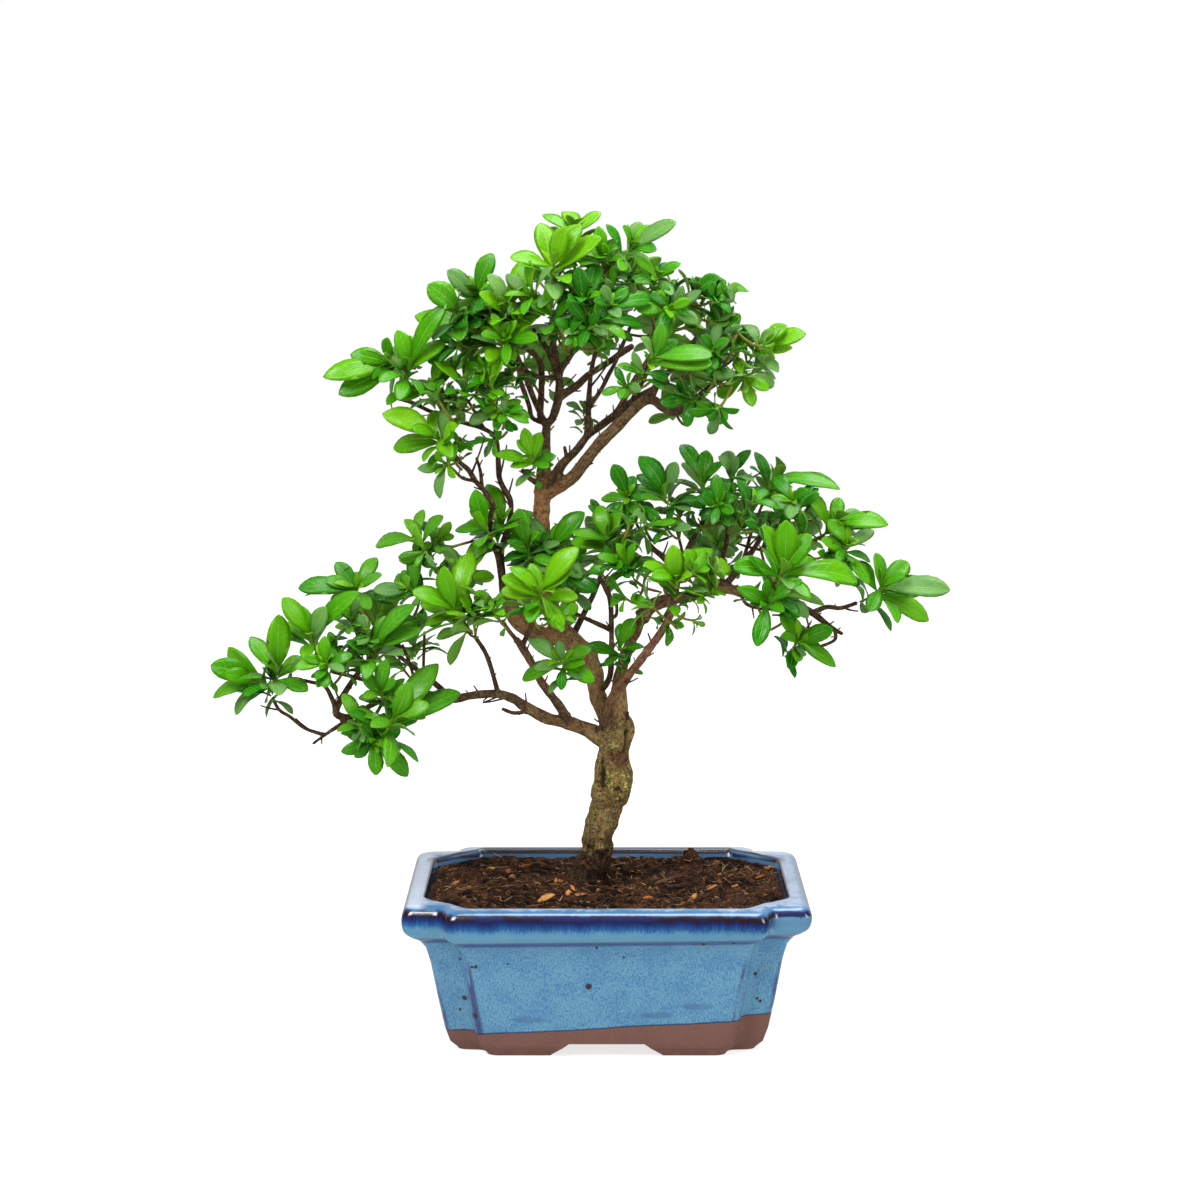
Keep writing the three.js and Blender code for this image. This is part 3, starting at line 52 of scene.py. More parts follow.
# The pot: height, half length, half width, notch length and notch width of each row of its section. Then
# the lift of the rim's underside at the middle and for each millimetre to the right, how deep a notch's
# inner corner lies as a share of the notch and how far its edges are rounded, outside and inside. Below
# the pot are a recess and the foot ring, cut by arches with a width at the top and at the ground. The
# glaze's lower edge rises to the right

OUTER_PROFILE = np.array([
    [0, 74, 56, 15.6, 11.5],
    [3, 76, 58, 15.8, 11.7],
    [4.5, 77.5, 59.5, 16, 12],
    [12, 80, 61.5, 16.4, 12],
    [45, 86.5, 68.5, 17.5, 12],
    [53, 88.8, 71, 18.5, 12],
    [57, 92, 73.5, 19.5, 12],
    [59, 95.5, 76, 20.5, 12],
    [62, 98.8, 78.6, 21.5, 12],
    [66.5, 100, 80, 22, 12],
    [72.5, 99.6, 79.6, 22, 12],
    [75.8, 98, 78, 21.5, 12],
    [77.1, 95.6, 75.6, 21, 12],
    [77.5, 93.5, 73.5, 20, 12],
])
INNER_PROFILE = np.array([
    [77.2, 90, 70.5, 23, 24],
    [75.5, 89, 69, 23, 24],
    [64, 85, 65.5, 22, 22],
    [12.5, 76, 57, 21, 21],
])
RIM_LIFT = 2.7
RIM_LIFT_TO_RIGHT = 0.012
OUTER_BITE = 0.9
INNER_BITE = 0.5
OUTER_ROUNDING = 5
INNER_ROUNDING = 3
RECESS_HEIGHT = 7.5
FOOT_RING_WIDTH = 11
FOOT_ARCH_HEIGHT = 7
FRONT_ARCH = (37, 56)
SIDE_ARCH = (26, 42)
DRAIN_HOLE_RADIUS = 7
DRAIN_HOLE_ACROSS = 40
CUTTER_REACH = 120.0
DRILL_SPAN = (-2.0, 30.0)
CREASE_DEGREES = 40
GLAZE_LINE = {"height": 15.4, "tilt": 0.055}

# Lines up the pot's wall: how far out each lies at the ground, and its lean. First the upright edges of the
# front and side panels and the end wall, then the inside of the end, of the front and of the corners

PANEL_EDGE = (59.9, 0.168)
SIDE_EDGE = (46.0, 0.212)
END_WALL = (77.6, 0.197)
INNER_END = (75, 0.195)
INNER_FRONT = (55.6, 0.19)
INNER_CORNER = (109.3, 0.33)

# Pinholes in the glaze of the front: across, height and radius

PINHOLES = (
    (-8.8, 37.6, 1.5), (-64.6, 21.8, 1.4), (-69.6, 29, 1.2), (-63.6, 48, 0.9), (-65.4, 47.8, 0.7),
    (-71.5, 50, 0.7), (-4.8, 58.4, 0.7), (46.8, 60.4, 0.8), (72.8, 41.5, 0.9), (75.4, 27, 0.8),
    (73.9, 28.4, 0.7), (8.2, 53, 0.6), (-48, 49.5, 0.5), (-72, 22.6, 0.6), (61.5, 61, 0.6),
)

# Purple smudges low on the front: across and height

GLAZE_SMUDGES = ((24, 22.5), (-38, 20), (44, 27))

# The soil: the heights of its top and underside, its fall for each millimetre to the back, the drop at its
# edge, the mound at the trunk and the gap to the pot. Clods are across, depth, rise and reach. Then its
# rings and columns, the edge and depth of the hole round the trunk, how many crumbs and fibres lie on it,
# and how far they are spread

SOIL_TOP = 74.3
SOIL_BOTTOM = 13.1
SOIL_FALL_TO_BACK = 0.009
SOIL_EDGE_DROP = 0.5
SOIL_MOUND = {"height": 2.2, "reach": 34, "x": -9, "y": 6}
SOIL_GAP = 0.5
SOIL_CLODS = (
    (45, 54, 5.5, 5), (41, 52, 2.5, 6), (-53, 48, 3.4, 7), (66, -32, 1.8, 13), (-72, -40, 1.6, 12),
    (-30, -48, 1.2, 10), (-86, -16, 2, 20), (-84, 18, 1.4, 15), (86, -18, 1.6, 18), (86, 14, 1, 14),
)
SOIL_RINGS = 92
SOIL_COLUMNS = 380
TRUNK_HOLE_EDGE = (8.5, 10.5)
TRUNK_HOLE_DEPTH = 14
CRUMB_COUNT = 1600
FIBRE_COUNT = 2900
SOIL_SPREAD = (86, 66)

# Litter on the soil: where the photograph shows it in pixels across and down, then length, width, heading
# and rise in degrees, and tone

LITTER = (
    (546, 903, 11, 4.5, -25, 24, 0.8), (568.5, 899, 4, 3, 70, 35, 0.7), (578, 897, 9, 2, 8, 6, 0.55),
    (573, 893, 5, 2.2, 120, 30, 0.6), (597, 892, 4.5, 3.2, -50, 30, 0.45), (490, 871, 6, 2.6, 15, 12, 0.85),
    (508, 872, 4, 3, 60, 30, 0.3), (616, 871, 6, 1.8, 30, 22, 0.55), (646, 893, 5.5, 1.6, -10, 10, 1.0),
    (650, 891, 3, 1.8, 75, 30, 1.0), (665, 885, 16, 1.7, 24, 12, 0.0), (712, 892, 8, 2, -40, 24, 0.62),
    (694, 899, 5, 2.6, 55, 40, 0.75), (769, 869, 5.5, 2.4, -10, 10, 0.4), (648, 904, 5.5, 2, 5, 5, 0.35),
    (456, 893, 5, 1.6, 40, 20, 0.5), (449, 876, 5, 1.6, -45, 18, 0.35), (760, 881, 6, 2, 30, 15, 0.2),
    (735, 890, 4, 1.6, 10, 10, 0.5), (525, 868, 7, 1.2, 5, 8, 0.3), (556, 888, 4, 1.4, 80, 40, 0.55),
)

# Leaves: rows along a blade and the closed outline of its section, as shares of its half width, with 1
# for the upper side, 0 for the margin and -1 for the underside. Then a blade's thickness, its stalk's
# radius, its arch as a share of its length, how near each other the leaves of one whorl start, the angle
# from leaf to leaf, a direction that no shoot takes, and the length below which a spray's point is no leaf

BLADE_ROWS = np.array([0, 0.07, 0.2, 0.36, 0.52, 0.67, 0.8, 0.9, 0.965])
BLADE_SHARES = np.array([0, 0.5, 1, 0.5, 0, -0.5, -1, -0.5])
BLADE_LAYERS = np.array([1, 1, 0, -1, -1, -1, 0, 1])
BLADE_THICKNESS = 0.36
PETIOLE_RADIUS = 0.55
LEAF_ARCH = 0.08
WHORL_REACH = 7.5
GOLDEN_ANGLE = math.radians(137.5)
ODD_DIRECTION = np.array([0.31, -0.87, 0.38])
SHORTEST_LEAF = 6

# The trunk: across, up, depth and radius of each station from its foot in the soil upward

TRUNK = np.array([
    [-9, 69, 8, 12], [-10, 84, 8, 11.5], [-6.5, 94, 8, 9.3], [-3.5, 103, 8, 8.6], [-3, 112, 7, 8.9],
    [-1, 122, 6, 9], [1.5, 130.5, 5, 9.5], [3, 138, 4, 9.6], [3.5, 146, 3, 8.4], [5, 155.5, 2, 8.2],
    [4, 164.5, 4, 7.6], [-2.5, 175, 8, 5], [-5, 183, 10, 4.6], [-6.5, 192, 12, 5], [-10.5, 200, 12, 5.2],
    [-18, 208, 12, 5.2], [-25, 217, 10, 5], [-29.5, 229.5, 8, 4.8], [-32.5, 245.5, 6, 4.6],
    [-33, 260.5, 4, 4.6], [-32.5, 273, 2, 4.8], [-32, 283, 0, 3.4],
])

# Limbs: name, the limb that carries it, depths that it runs through after its start, radii from start
# to end, and its path as across and up pairs. It starts on its carrier's middle line

LIMBS = [
    ["shoulder", "trunk", [2, 1], [3, 4.4, 3.4], [5, 172, 8.4, 167, 10, 160, 9.4, 149]],
    ["scar_knob", "trunk", [-3, -6], [4, 5.8, 3], [3, 132, 6, 135, 8, 139]],
    ["shoulder_stub", "shoulder", [0, -1], [1.2, 1, 0.5], [9.6, 166, 10.4, 169, 10.8, 172]],
    ["leader", "trunk", [-2, -3, -14], [3.3, 2.3, 2.1, 1.1],
      [-32, 281, -31.5, 292, -30.5, 305, -30, 315, -27, 319, -24.5, 327, -23.5, 334, -24, 340, -27, 348,
        -32, 357, -37, 364]],
    ["leader_left", "leader", [-4, -10], [1.9, 1.2],
      [-30.5, 316, -33, 320.5, -32.5, 333.5, -33, 346, -38, 352.5, -45, 355.5, -51, 358]],
    ["top_left_arm", "leader_left", [-14], [1, 0.8], [-51, 358, -56, 360.5, -63, 367, -68, 375.5]],
    ["leader_right", "leader", [4, 12], [2, 1.4], [-23, 329, -15, 335, -9, 340.5, 1, 347, 8, 352, 13, 355]],
    ["leader_back", "leader", [4, 10], [1.8, 1.2], [-26, 340, -26, 352.5, -26, 359, -20, 374, -17, 383]],
    ["crown_right", "leader_back", [8, 5], [1.1, 0.9], [-19, 376, -8, 385.5, 3, 395.5]],
    ["leader_front", "leader", [-12, -22], [1.4, 1.1], [-23, 342, -19, 348.5, -14.5, 357, -12, 362.5]],
    ["left_low_top", "leader", [-12, -20], [1.3, 1], [-25, 339, -36, 340, -42, 345, -46, 350, -50.5, 352.5]],
    ["left_twig", "leader", [10, 20], [1.2, 1.1], [-30.5, 316, -37, 319, -39, 326, -43, 337.5, -44, 344]],
    ["inner_bough", "leader", [4, 12, 25], [2.6, 1.5],
      [-31, 284, -27, 287.5, -22, 296, -15, 303, -9.5, 310, -2.5, 315.5, 5, 321, 13, 327.5, 22, 333,
        31, 337.5]],
    ["inner_stub", "inner_bough", [6], [1.1, 0.8], [-20, 299.5, -21, 304.5]],
    ["inner_up", "inner_bough", [16, 28], [1.5, 1],
      [-9.5, 310, -9, 322, -8.5, 332, -7.5, 343, -4.5, 355.5, 0, 368]],
    ["inner_mid", "inner_up", [4, 0], [1.2, 0.9],
      [-9, 324, -2.5, 333.5, 1, 340.5, 4, 346, 8, 355.5, 13, 367]],
    ["outer_bough", "trunk", [-4, -9, -14, -20], [3.4, 2.9, 2.8, 2.4, 1.9, 1],
      [-31, 280, -18, 288.5, -11.5, 296, -4, 305.5, 4, 313.5, 11.5, 321, 18, 327, 23, 328, 29, 324, 34, 322,
        42, 325.5, 50, 333, 58, 338, 67, 342]],
    ["outer_up", "outer_bough", [-10, -5], [1.8, 1.1], [21, 328, 26, 336.5, 33, 344, 41, 353, 47, 363]],
    ["outer_up_back", "inner_bough", [14, 5], [1.4, 1], [13, 328, 20, 342, 23, 353, 24, 365.5, 22, 378]],
    ["left_knob", "trunk", [2, -10], [4, 3.8, 4.1, 3.2, 2.2],
      [-20, 209, -29, 209.5, -38, 213, -45, 219, -48, 225.5, -51, 232, -52, 238.5]],
    ["left_stem_low", "left_knob", [-14, -18], [1.7, 1.1],
      [-52, 237, -54, 249, -56, 254, -59.5, 258.5, -59, 263.5, -58, 270, -57, 276, -61.5, 283, -65.5, 287.5,
        -69, 293, -73.5, 297, -76.5, 301.5]],
    ["left_stem_high", "left_knob", [-4, 2, -1, -5], [1.6, 1.3, 0.9],
      [-51.5, 236, -52.5, 249, -52, 255, -50, 262, -48, 270, -48, 277.5, -51.5, 284, -53.5, 289, -54, 295.5,
        -55, 308, -60, 313, -69, 316, -79, 318.5, -88.5, 322.5, -98, 327, -105, 329]],
    ["left_link", "leader", [-8, -12], [1.5, 1.2], [-32, 284, -38.5, 289, -42, 293]],
    ["left_up", "left_stem_high", [-4, -12], [1.2, 0.9], [-55, 308, -56, 318, -58, 328, -59, 338, -57, 348]],
    ["left_fork", "left_stem_high", [-6], [0.9, 0.8], [-79, 319, -83, 324, -86, 329]],
    ["left_twig_up", "left_stem_high", [-4, -10], [1, 0.8], [-62, 314, -67, 324, -72, 331]],
    ["left_thin", "left_stem_low", [-20, -24], [0.8, 0.7], [-66, 287, -72, 289, -77, 293.5, -86, 300.5]],
    ["left_stub", "left_stem_low", [-12], [0.9, 0.7], [-62, 284, -63, 292, -65, 299]],
    ["right_stem", "trunk", [2, 4, 8], [5.5, 4.2, 3, 2.7, 2.6],
      [5, 160.5, 5.5, 172, 6, 180.5, 6.5, 186, 8, 195.5, 11, 204, 15.5, 213, 18, 222]],
    ["right_bough", "right_stem", [10, 6, 0, -4, -8], [3.2, 3, 2.9, 2.6, 2, 1],
      [17, 219, 23, 225, 32, 228, 44, 230.5, 58, 233.5, 68, 232, 77, 230, 86, 229, 95, 225, 103, 221.5,
        112, 214.5, 118, 211]],
    ["right_tip", "right_bough", [-8], [1.4, 1], [103, 222, 110, 224.5, 117, 224, 125, 226.5]],
    ["hanging_twig", "right_bough", [-8], [0.9, 0.7], [114, 213, 114, 208, 106, 204.5, 99, 203]],
    ["right_thin", "right_bough", [-6, -10], [0.9, 0.7], [66, 232, 70, 226, 78, 223.5, 86, 223.5]],
    ["right_up_far", "right_bough", [-2, -8], [1.7, 1.3], [58, 234, 64, 241, 70, 248.5, 74, 254, 77, 259]],
    ["right_up_fork", "right_up_far", [-4], [1, 0.8], [67, 246, 71, 257, 73, 263.5]],
    ["right_up_mid", "right_bough", [4, 0], [1.2, 1], [58, 235, 58, 247.5, 60, 257, 60.5, 267]],
    ["right_up_near", "right_bough", [0, -8], [1.5, 1.1],
      [33, 230.5, 37, 243, 41, 254, 45, 261.5, 48, 267, 50, 272]],
    ["right_up_fan", "right_up_near", [-10], [0.9, 0.7], [38, 247, 37, 256, 35, 263]],
    ["right_up_left", "right_bough", [4, -4], [1.8, 1.1],
      [34, 229, 34, 240.5, 29, 248.7, 24, 253, 20, 257.6]],
    ["centre_stem", "trunk", [4, 0], [1.5, 1.2],
      [-3.5, 180, 1.5, 189, 2.5, 201, 2.5, 213, 2, 227, 0, 233, -3.5, 239.5]],
    ["centre_twig_low", "centre_stem", [4], [1.2, 0.9], [1.5, 213, -12, 219.5, -21, 224]],
    ["centre_twig_high", "centre_stem", [-8], [1, 0.8], [1.5, 218.6, 5, 221, 5, 228]],
    ["front_branch", "trunk", [-8, -14, -22, -30, -38], [2.4, 2.2, 2],
      [1, 157, -1, 164, 0, 172, 4, 182, 9, 188.5, 14, 194, 19, 200.5, 27, 211.5, 33, 222.5]],
    ["front_fork_left", "front_branch", [-40], [1.2, 1], [33, 222, 31, 228.5, 29, 233.5]],
    ["left_bough", "trunk", [-4, -8, -10, -13, -15], [4.5, 3.4, 2.6, 2.3, 2.1, 1.8, 1.4, 0.9],
      [1, 154, -6, 161.5, -13, 164.5, -20, 167, -28, 168.5, -34, 171, -41, 175, -47, 179, -54, 181, -62, 181,
        -69, 180, -77, 178.5, -85, 180, -93, 181.5, -103, 180, -113, 177.5, -122, 173, -130, 167.5,
        -138, 162.5, -147, 156]],
    ["left_bough_stub", "left_bough", [-12], [1, 0.8], [-38, 172.5, -46, 171.5, -52, 173.5]],
    ["front_left_branch", "left_bough", [-16, -30], [2.3, 1.8],
      [-19, 167, -23, 174, -29, 182, -34, 189.5, -38, 197.5, -43, 205.5, -45, 208]],
    ["front_left_fork", "front_left_branch", [-34], [1.1, 1], [-44.5, 207, -49, 213, -52, 217.5]],
    ["front_left_green", "front_left_branch", [-38], [1.2, 1], [-42, 204, -38, 214, -35, 221]],
    ["left_mid_branch", "left_bough", [-22, -32], [1.3, 1], [-54, 181, -58, 195, -61, 202.5, -66, 210]],
    ["left_bare_twig", "left_bough", [-8], [0.8, 0.7], [-92, 181, -91.5, 196, -91, 212]],
    ["left_bare_fork", "left_bough", [-12, -14], [0.9, 0.7], [-95, 181, -98, 195, -102, 205.5]],
    ["tip_up", "left_bough", [-12, -8], [1.7, 1.3],
      [-129, 168, -135, 171, -134, 176, -130, 183, -125, 190.5, -120, 196.5, -116, 202.5]],
    ["tip_up_left", "tip_up", [-18, -22], [1.2, 0.9],
      [-134.5, 173, -137, 178, -141, 185, -148, 187, -156, 188.7]],
    ["tip_up_stub", "tip_up_left", [-18], [0.8, 0.7], [-141, 185, -142, 191]],
    ["tip_far", "left_bough", [-13, -10], [1, 0.8],
      [-141, 160, -151, 164, -158, 169.5, -163.5, 173, -167, 179]],
    ["tip_thin", "tip_up", [-24], [0.8, 0.7], [-135, 174, -129, 160, -120, 157, -114, 159.5]],
    ["tip_middle", "left_bough", [4], [1.1, 0.9], [-109, 178, -115, 185.5, -127, 189.7, -137, 192]],
    ["crown_back_left", "leader", [12, 25, 42], [1.6, 1.1], [-30, 315, -36, 328, -41, 341, -45, 352]],
    ["crown_back_right", "inner_bough", [22, 34, 48], [1.6, 1.1], [5, 321, 13, 336, 20, 347, 25, 355]],
    ["right_back", "right_bough", [18, 32, 42], [1.6, 1.1], [44, 230.5, 50, 240, 57, 250, 64, 258]],
    ["left_back", "left_bough", [0, 10, 20], [1.4, 1], [-77, 178.5, -88, 188, -100, 197, -110, 205]],
    ["centre_back", "trunk", [20, 32, 40], [1.7, 1.1], [-18, 208, -12, 220, -6, 232, -2, 243]],
]

# Roots that show at the foot, in the same form as the limbs

ROOTS = [
    ["root_left", "trunk", [0, -5], [5, 4.2, 2.2], [-7.5, 102, -11.5, 95, -16, 88, -21, 80]],
    ["root_front", "trunk", [-4, -10], [4.4, 3.6, 2.2], [-9, 98, -11, 91, -11, 84, -10, 77]],
    ["root_back", "trunk", [14, 22], [4.6, 3.8, 2.4], [-9, 99, -10, 92, -12, 85]],
]

# Wood: the radius from which limbs grow together into one skin, that skin's fineness, the sides of its
# tubes and of thin limbs, how far each limb's grain stands from the next one's, and how red limbs are.
# Then marks on the trunk's front as across and height: the scar, the bare patch above its lip, the crevice,
# the knob and the cleft. The trunk draws in on its right at the waist and at the foot. Last, where it
# stands and the share of spurs that stay short

THICK_LIMB = 2.2
BARK_VOXEL = 0.68
BOUGH_COLUMNS = 16
TWIG_COLUMNS = 9
GRAIN_SHIFT = 40
PLAIN_REDNESS = 0.15
RED_LIMBS = {"front_branch": 1.0, "front_left_branch": 0.8, "front_fork_left": 1.0, "front_left_fork": 0.8}
SCAR = {"x": 5.4, "z": 125}
BARE = {"x": 6.5, "z": 138, "lip_z": 139.3, "lip_fall": 0.72, "lip_slant": 1.23}
CREVICE = {"x": 10.2, "z": 149}
KNOB = {"x": 3.6, "z": 146}
CLEFT = {"x": -2.2, "z": 130.5}
WAIST = {"z": 142, "reach": 7, "depth": 2.2}
FOOT_TUCK = 2.2
TRUNK_FOOT = (-9.6, 8.0)
SPUR_SHARE = 0.8

# Young leaves in the middle of each whorl: their length as a share of the whorl's leaves, and how far
# each leans from the whorl's axis, in degrees

YOUNG_SHARES = (0.66, 0.55, 0.46, 0.38, 0.28)
YOUNG_LEANS = (52, 42, 33, 24, 14)

# Leaves that fill a whorl: how many it has in all, how many directions are tried, how far these lean from
# the axis in degrees, and their share of the whorl's leaf length

FULL_WHORL = 9
FILL_TRIED = 16
FILL_LEANS = (50, 105)
FILL_SHARES = (0.72, 1.0)

# Older leaves below a whorl: share of its leaf length, lean and how far back each starts. Then side shoots
# behind it: shares and leans of their leaves, their stems' radius, how far back and out they stand, and
# the sprays whose whorls have more or fewer of them than one. Roots and stems are drawn in to a whorl's
# axis by a share. Each leaf's youth differs a little, and chance above a bound turns it pale grey green,
# partly a leaf's own tone and partly a painted sheen. The tones are youth and paleness, by a spray's slot
# and of the sprays that differ

OLD_SHARES = (0.92, 0.85, 0.8, 0.74, 0.66)
OLD_LEANS = (62, 76, 70, 88, 80)
OLD_BACKS = (5, 7, 8.5, 11, 13)
SIDE_SHARES = (1.0, 0.92, 0.95, 0.8, 0.7, 0.5, 0.36)
SIDE_LEANS = (72, 64, 58, 48, 38, 26, 16)
SHOOT_RADIUS = 0.7
SHOOT_BACK = (6, 14)
SHOOT_OUT = (6, 12)
SIDE_SHOOTS = {
    "crown_right_upper": 2, "crown_right_shoulder": 3, "crown_right_front": 2, "crown_heart": 2,
    "crown_centre": 2, "crown_right_peak": 2, "crown_right_tip": 2, "crown_peak": 2, "crown_left_back": 2,
    "crown_left_bright": 2, "centre_dark": 2, "centre_right": 2, "centre_left_big": 2, "centre_bright": 2,
    "right_near": 2, "right_middle": 2, "right_big": 2, "right_far": 2, "crown_right_inner": 2,
    "left_tip": 0, "left_skirt": 0, "left_low": 0, "right_hanging": 0, "right_end": 0, "crown_left_tip": 0,
    "trunk_tuft": 0, "front_low": 0, "left_middle_twig": 0, "centre_stem_leaves": 0, "centre_low": 0,
    "crown_inner_pale": 0,
}
HUB_SQUEEZE = 0.75
LEAF_SEED_STEP = 131.7
YOUTH_SPREAD = 0.22
PALE_SHEEN = 0.9
PALE_SHEEN_FROM = 0.86
SPRAY_TONES = {"leaf_young": (0.68, 0.0), "leaf_green": (0.48, 0.0), "leaf_dark": (0.3, 0.08),
               "leaf_pale": (0.5, 1.0)}
SPRAY_MOODS = {
    "crown_right_front": (0.44, 0.1), "right_big": (0.46, 0.0), "right_end": (0.4, 0.05),
    "left_skirt": (0.46, 0.1), "left_middle": (0.56, 0.15), "left_top": (0.42, 0.15),
    "left_heart": (0.42, 0.1), "left_low": (0.42, 0.1),
}

# Light: the strength of the surround as the camera sees it and as it shines, and the floor's glow. Lamps
# are name, place and aim in metres, sides in metres, and power in watts

BACKGROUND_STRENGTH = 1.0
ROOM_STRENGTH = 0.55
FLOOR_GLOW = 0.75
LIGHTS = (
    ("key_light", (-0.9, -1.3, 1.5), (0.0, 0.0, 0.2), (0.8, 0.8), 36),
    ("top_light", (0.25, -0.1, 1.6), (0.0, 0.0, 0.1), (1.5, 0.8), 34),
    ("right_light", (1.4, -1.0, 1.0), (0.0, 0.0, 0.2), (0.5, 1.0), 14),
)


# Arithmetic on whole arrays

def unit(vectors):
    """Vectors of length one."""
    return vectors / np.maximum(np.linalg.norm(vectors, axis=-1, keepdims=True), 1e-9)


def along(vectors, direction):
    """The share of each vector along a direction."""
    return np.sum(vectors * direction, axis=-1, keepdims=True)


def without(vectors, direction):
    """Vectors with their share along a direction taken out."""
    return vectors - along(vectors, direction) * direction


def smooth_step(low, high, values):
    """0 below low, 1 above high, and a smooth cubic between them."""
    share = np.clip((values - low) / (high - low), 0, 1)
    return share * share * (3 - 2 * share)


def within(span, share):
    """The value at a share of the way through a span."""
    return span[0] + (span[1] - span[0]) * share


def circle(count):
    """Angles evenly round a circle."""
    return np.arange(count) / count * 2 * math.pi


def both_across(run, odd=ODD_DIRECTION):
    """Two directions across each run, square to each other: the first also square to an odd direction."""
    side = unit(np.cross(run, odd))
    return side, np.cross(run, side)


def round_about(side, other, count):
    """Directions evenly round, from two that are square to each other. They get an axis of their own."""
    angle = circle(count)
    return side[..., None, :] * np.cos(angle)[:, None] + other[..., None, :] * np.sin(angle)[:, None]


def far_along(places):
    """How far along the line through all places each one stands."""
    return np.concatenate([[0], np.cumsum(np.linalg.norm(np.diff(places, axis=0), axis=1))])


def scatter(*numbers):
    """A repeatable number from 0 to 1: the fraction of a large multiple of a sine of the numbers."""
    weights = (12.9898, 78.233, 37.719, 9.151)
    total = sum(np.asarray(number, float) * weight for number, weight in zip(numbers, weights))
    return (np.sin(total) * 43758.5453) % 1


def noise(points, size, seed=0):
    """Smooth values from -1 to 1: scattered values at the corners of cubes of a size, and blends of them."""
    places = points / size
    low = np.floor(places)
    part = smooth_step(0, 1, places - low)
    total = 0
    for corner in range(8):
        step = np.array([corner & 1, corner >> 1 & 1, corner >> 2 & 1])
        weight = np.prod(np.where(step == 1, part, 1 - part), axis=-1)
        at = low + step
        total = total + weight * scatter(at[..., 0], at[..., 1], at[..., 2], seed)
    return total * 2 - 1


def flat_noise(x, y, size, seed):
    """Noise on a level sheet."""
    return noise(np.stack([x, y, np.zeros_like(x)], -1), size, seed)


def spline(rows, steps):
    """Rows of numbers with steps new rows between each two, on a smooth curve through them (Catmull-Rom)."""
    rows = np.asarray(rows, float)
    before = np.vstack([2 * rows[0] - rows[1], rows[:-2]])
    after = np.vstack([rows[2:], 2 * rows[-1] - rows[-2]])
    start, end = rows[:-1], rows[1:]
    share = (np.arange(steps) / steps)[:, None, None]
    curve = 0.5 * (2 * start + (end - before) * share
                   + (2 * before - 5 * start + 4 * end - after) * share ** 2
                   + (3 * start - before - 3 * end + after) * share ** 3)
    return np.vstack([curve.transpose(1, 0, 2).reshape(-1, rows.shape[1]), rows[-1:]])


def resampled(rows, shares):
    """A list of evenly spaced values read at some shares of its length."""
    rows = np.asarray(rows, float)
    return np.interp(np.asarray(shares) * (len(rows) - 1), np.arange(len(rows)), rows)


def seen(across, up, depth):
    """Places in the front view as points in space, on the ray from the camera through them."""
    pitch = np.array([math.cos(VIEW_PITCH), math.sin(VIEW_PITCH)])
    eye = np.array([VIEW_AIM[0], -VIEW_DISTANCE * pitch[0], VIEW_AIM[2] + VIEW_DISTANCE * pitch[1]])
    rise = np.asarray(up, float) - AIM_UP
    plane = np.stack([np.asarray(across, float), rise * pitch[1], VIEW_AIM[2] + rise * pitch[0]], -1)
    reach = (np.asarray(depth, float) - eye[1]) / (plane[..., 1] - eye[1])
    return eye + (plane - eye) * reach[..., None]


# Meshes

def grid_faces(rows, columns):
    """Quads between the rows of a grid of points, with its last column joined to its first."""
    first = np.arange(columns)
    second = (first + 1) % columns
    low = np.arange(rows - 1)[:, None] * columns
    corners = [low + first, low + second, low + columns + second, low + columns + first]
    return np.stack(corners, -1).reshape(-1, 4)


def closed_tubes(rings, start, end):
    """Points, quads and end triangles of closed tubes: rings [tube, row, column] with a pole at each end."""
    count, rows, columns, _ = rings.shape
    each = rows * columns + 2
    points = np.concatenate([rings.reshape(count, rows * columns, 3), start[:, None], end[:, None]], 1)
    first = np.arange(columns)
    second = (first + 1) % columns
    last = (rows - 1) * columns
    foot = np.stack([np.full(columns, each - 2), second, first], -1)
    head = np.stack([last + first, last + second, np.full(columns, each - 1)], -1)
    shift = np.arange(count)[:, None, None] * each
    quads = (grid_faces(rows, columns) + shift).reshape(-1, 4)
    ends = (np.concatenate([foot, head]) + shift).reshape(-1, 3)
    return points.reshape(-1, 3), quads, ends


def per_point(values, rings):
    """One row of values for each tube, given to every point of its tube."""
    each = rings.shape[1] * rings.shape[2] + 2
    return np.repeat(values, each, axis=0)


def to_frame(points):
    """Millimetres round the pot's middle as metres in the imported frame."""
    return points * 0.001 + POT_MIDDLE


def from_frame(points):
    """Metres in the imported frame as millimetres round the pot's middle."""
    return (points - POT_MIDDLE) * 1000


def new_mesh(name, points, *faces):
    """A mesh object from points in millimetres and arrays of faces of three or four corners."""
    corners = np.concatenate([part.ravel() for part in faces])
    sizes = np.concatenate([np.full(len(part), part.shape[1]) for part in faces])
    mesh = bpy.data.meshes.new(name)
    mesh.vertices.add(len(points))
    mesh.vertices.foreach_set("co", to_frame(points).ravel())
    mesh.loops.add(len(corners))
    mesh.loops.foreach_set("vertex_index", corners)
    mesh.polygons.add(len(sizes))
    mesh.polygons.foreach_set("loop_start", np.cumsum(sizes) - sizes)
    mesh.update(calc_edges=True)
    mesh.shade_smooth()
    made = bpy.data.objects.new(name, mesh)
    bpy.context.scene.collection.objects.link(made)
    return made


def set_layer(piece, name, values):
    """Stores three numbers for each point, for a material to read."""
    layer = piece.data.attributes.new(name, "FLOAT_VECTOR", "POINT")
    layer.data.foreach_set("vector", np.ascontiguousarray(values, dtype=np.float32).ravel())


def read_rows(elements, name, each, width, kind=float):
    """Some numbers of every mesh element, each with so many, as rows of a width."""
    values = np.empty(len(elements) * each, kind)
    elements.foreach_get(name, values)
    return values.reshape(-1, width)


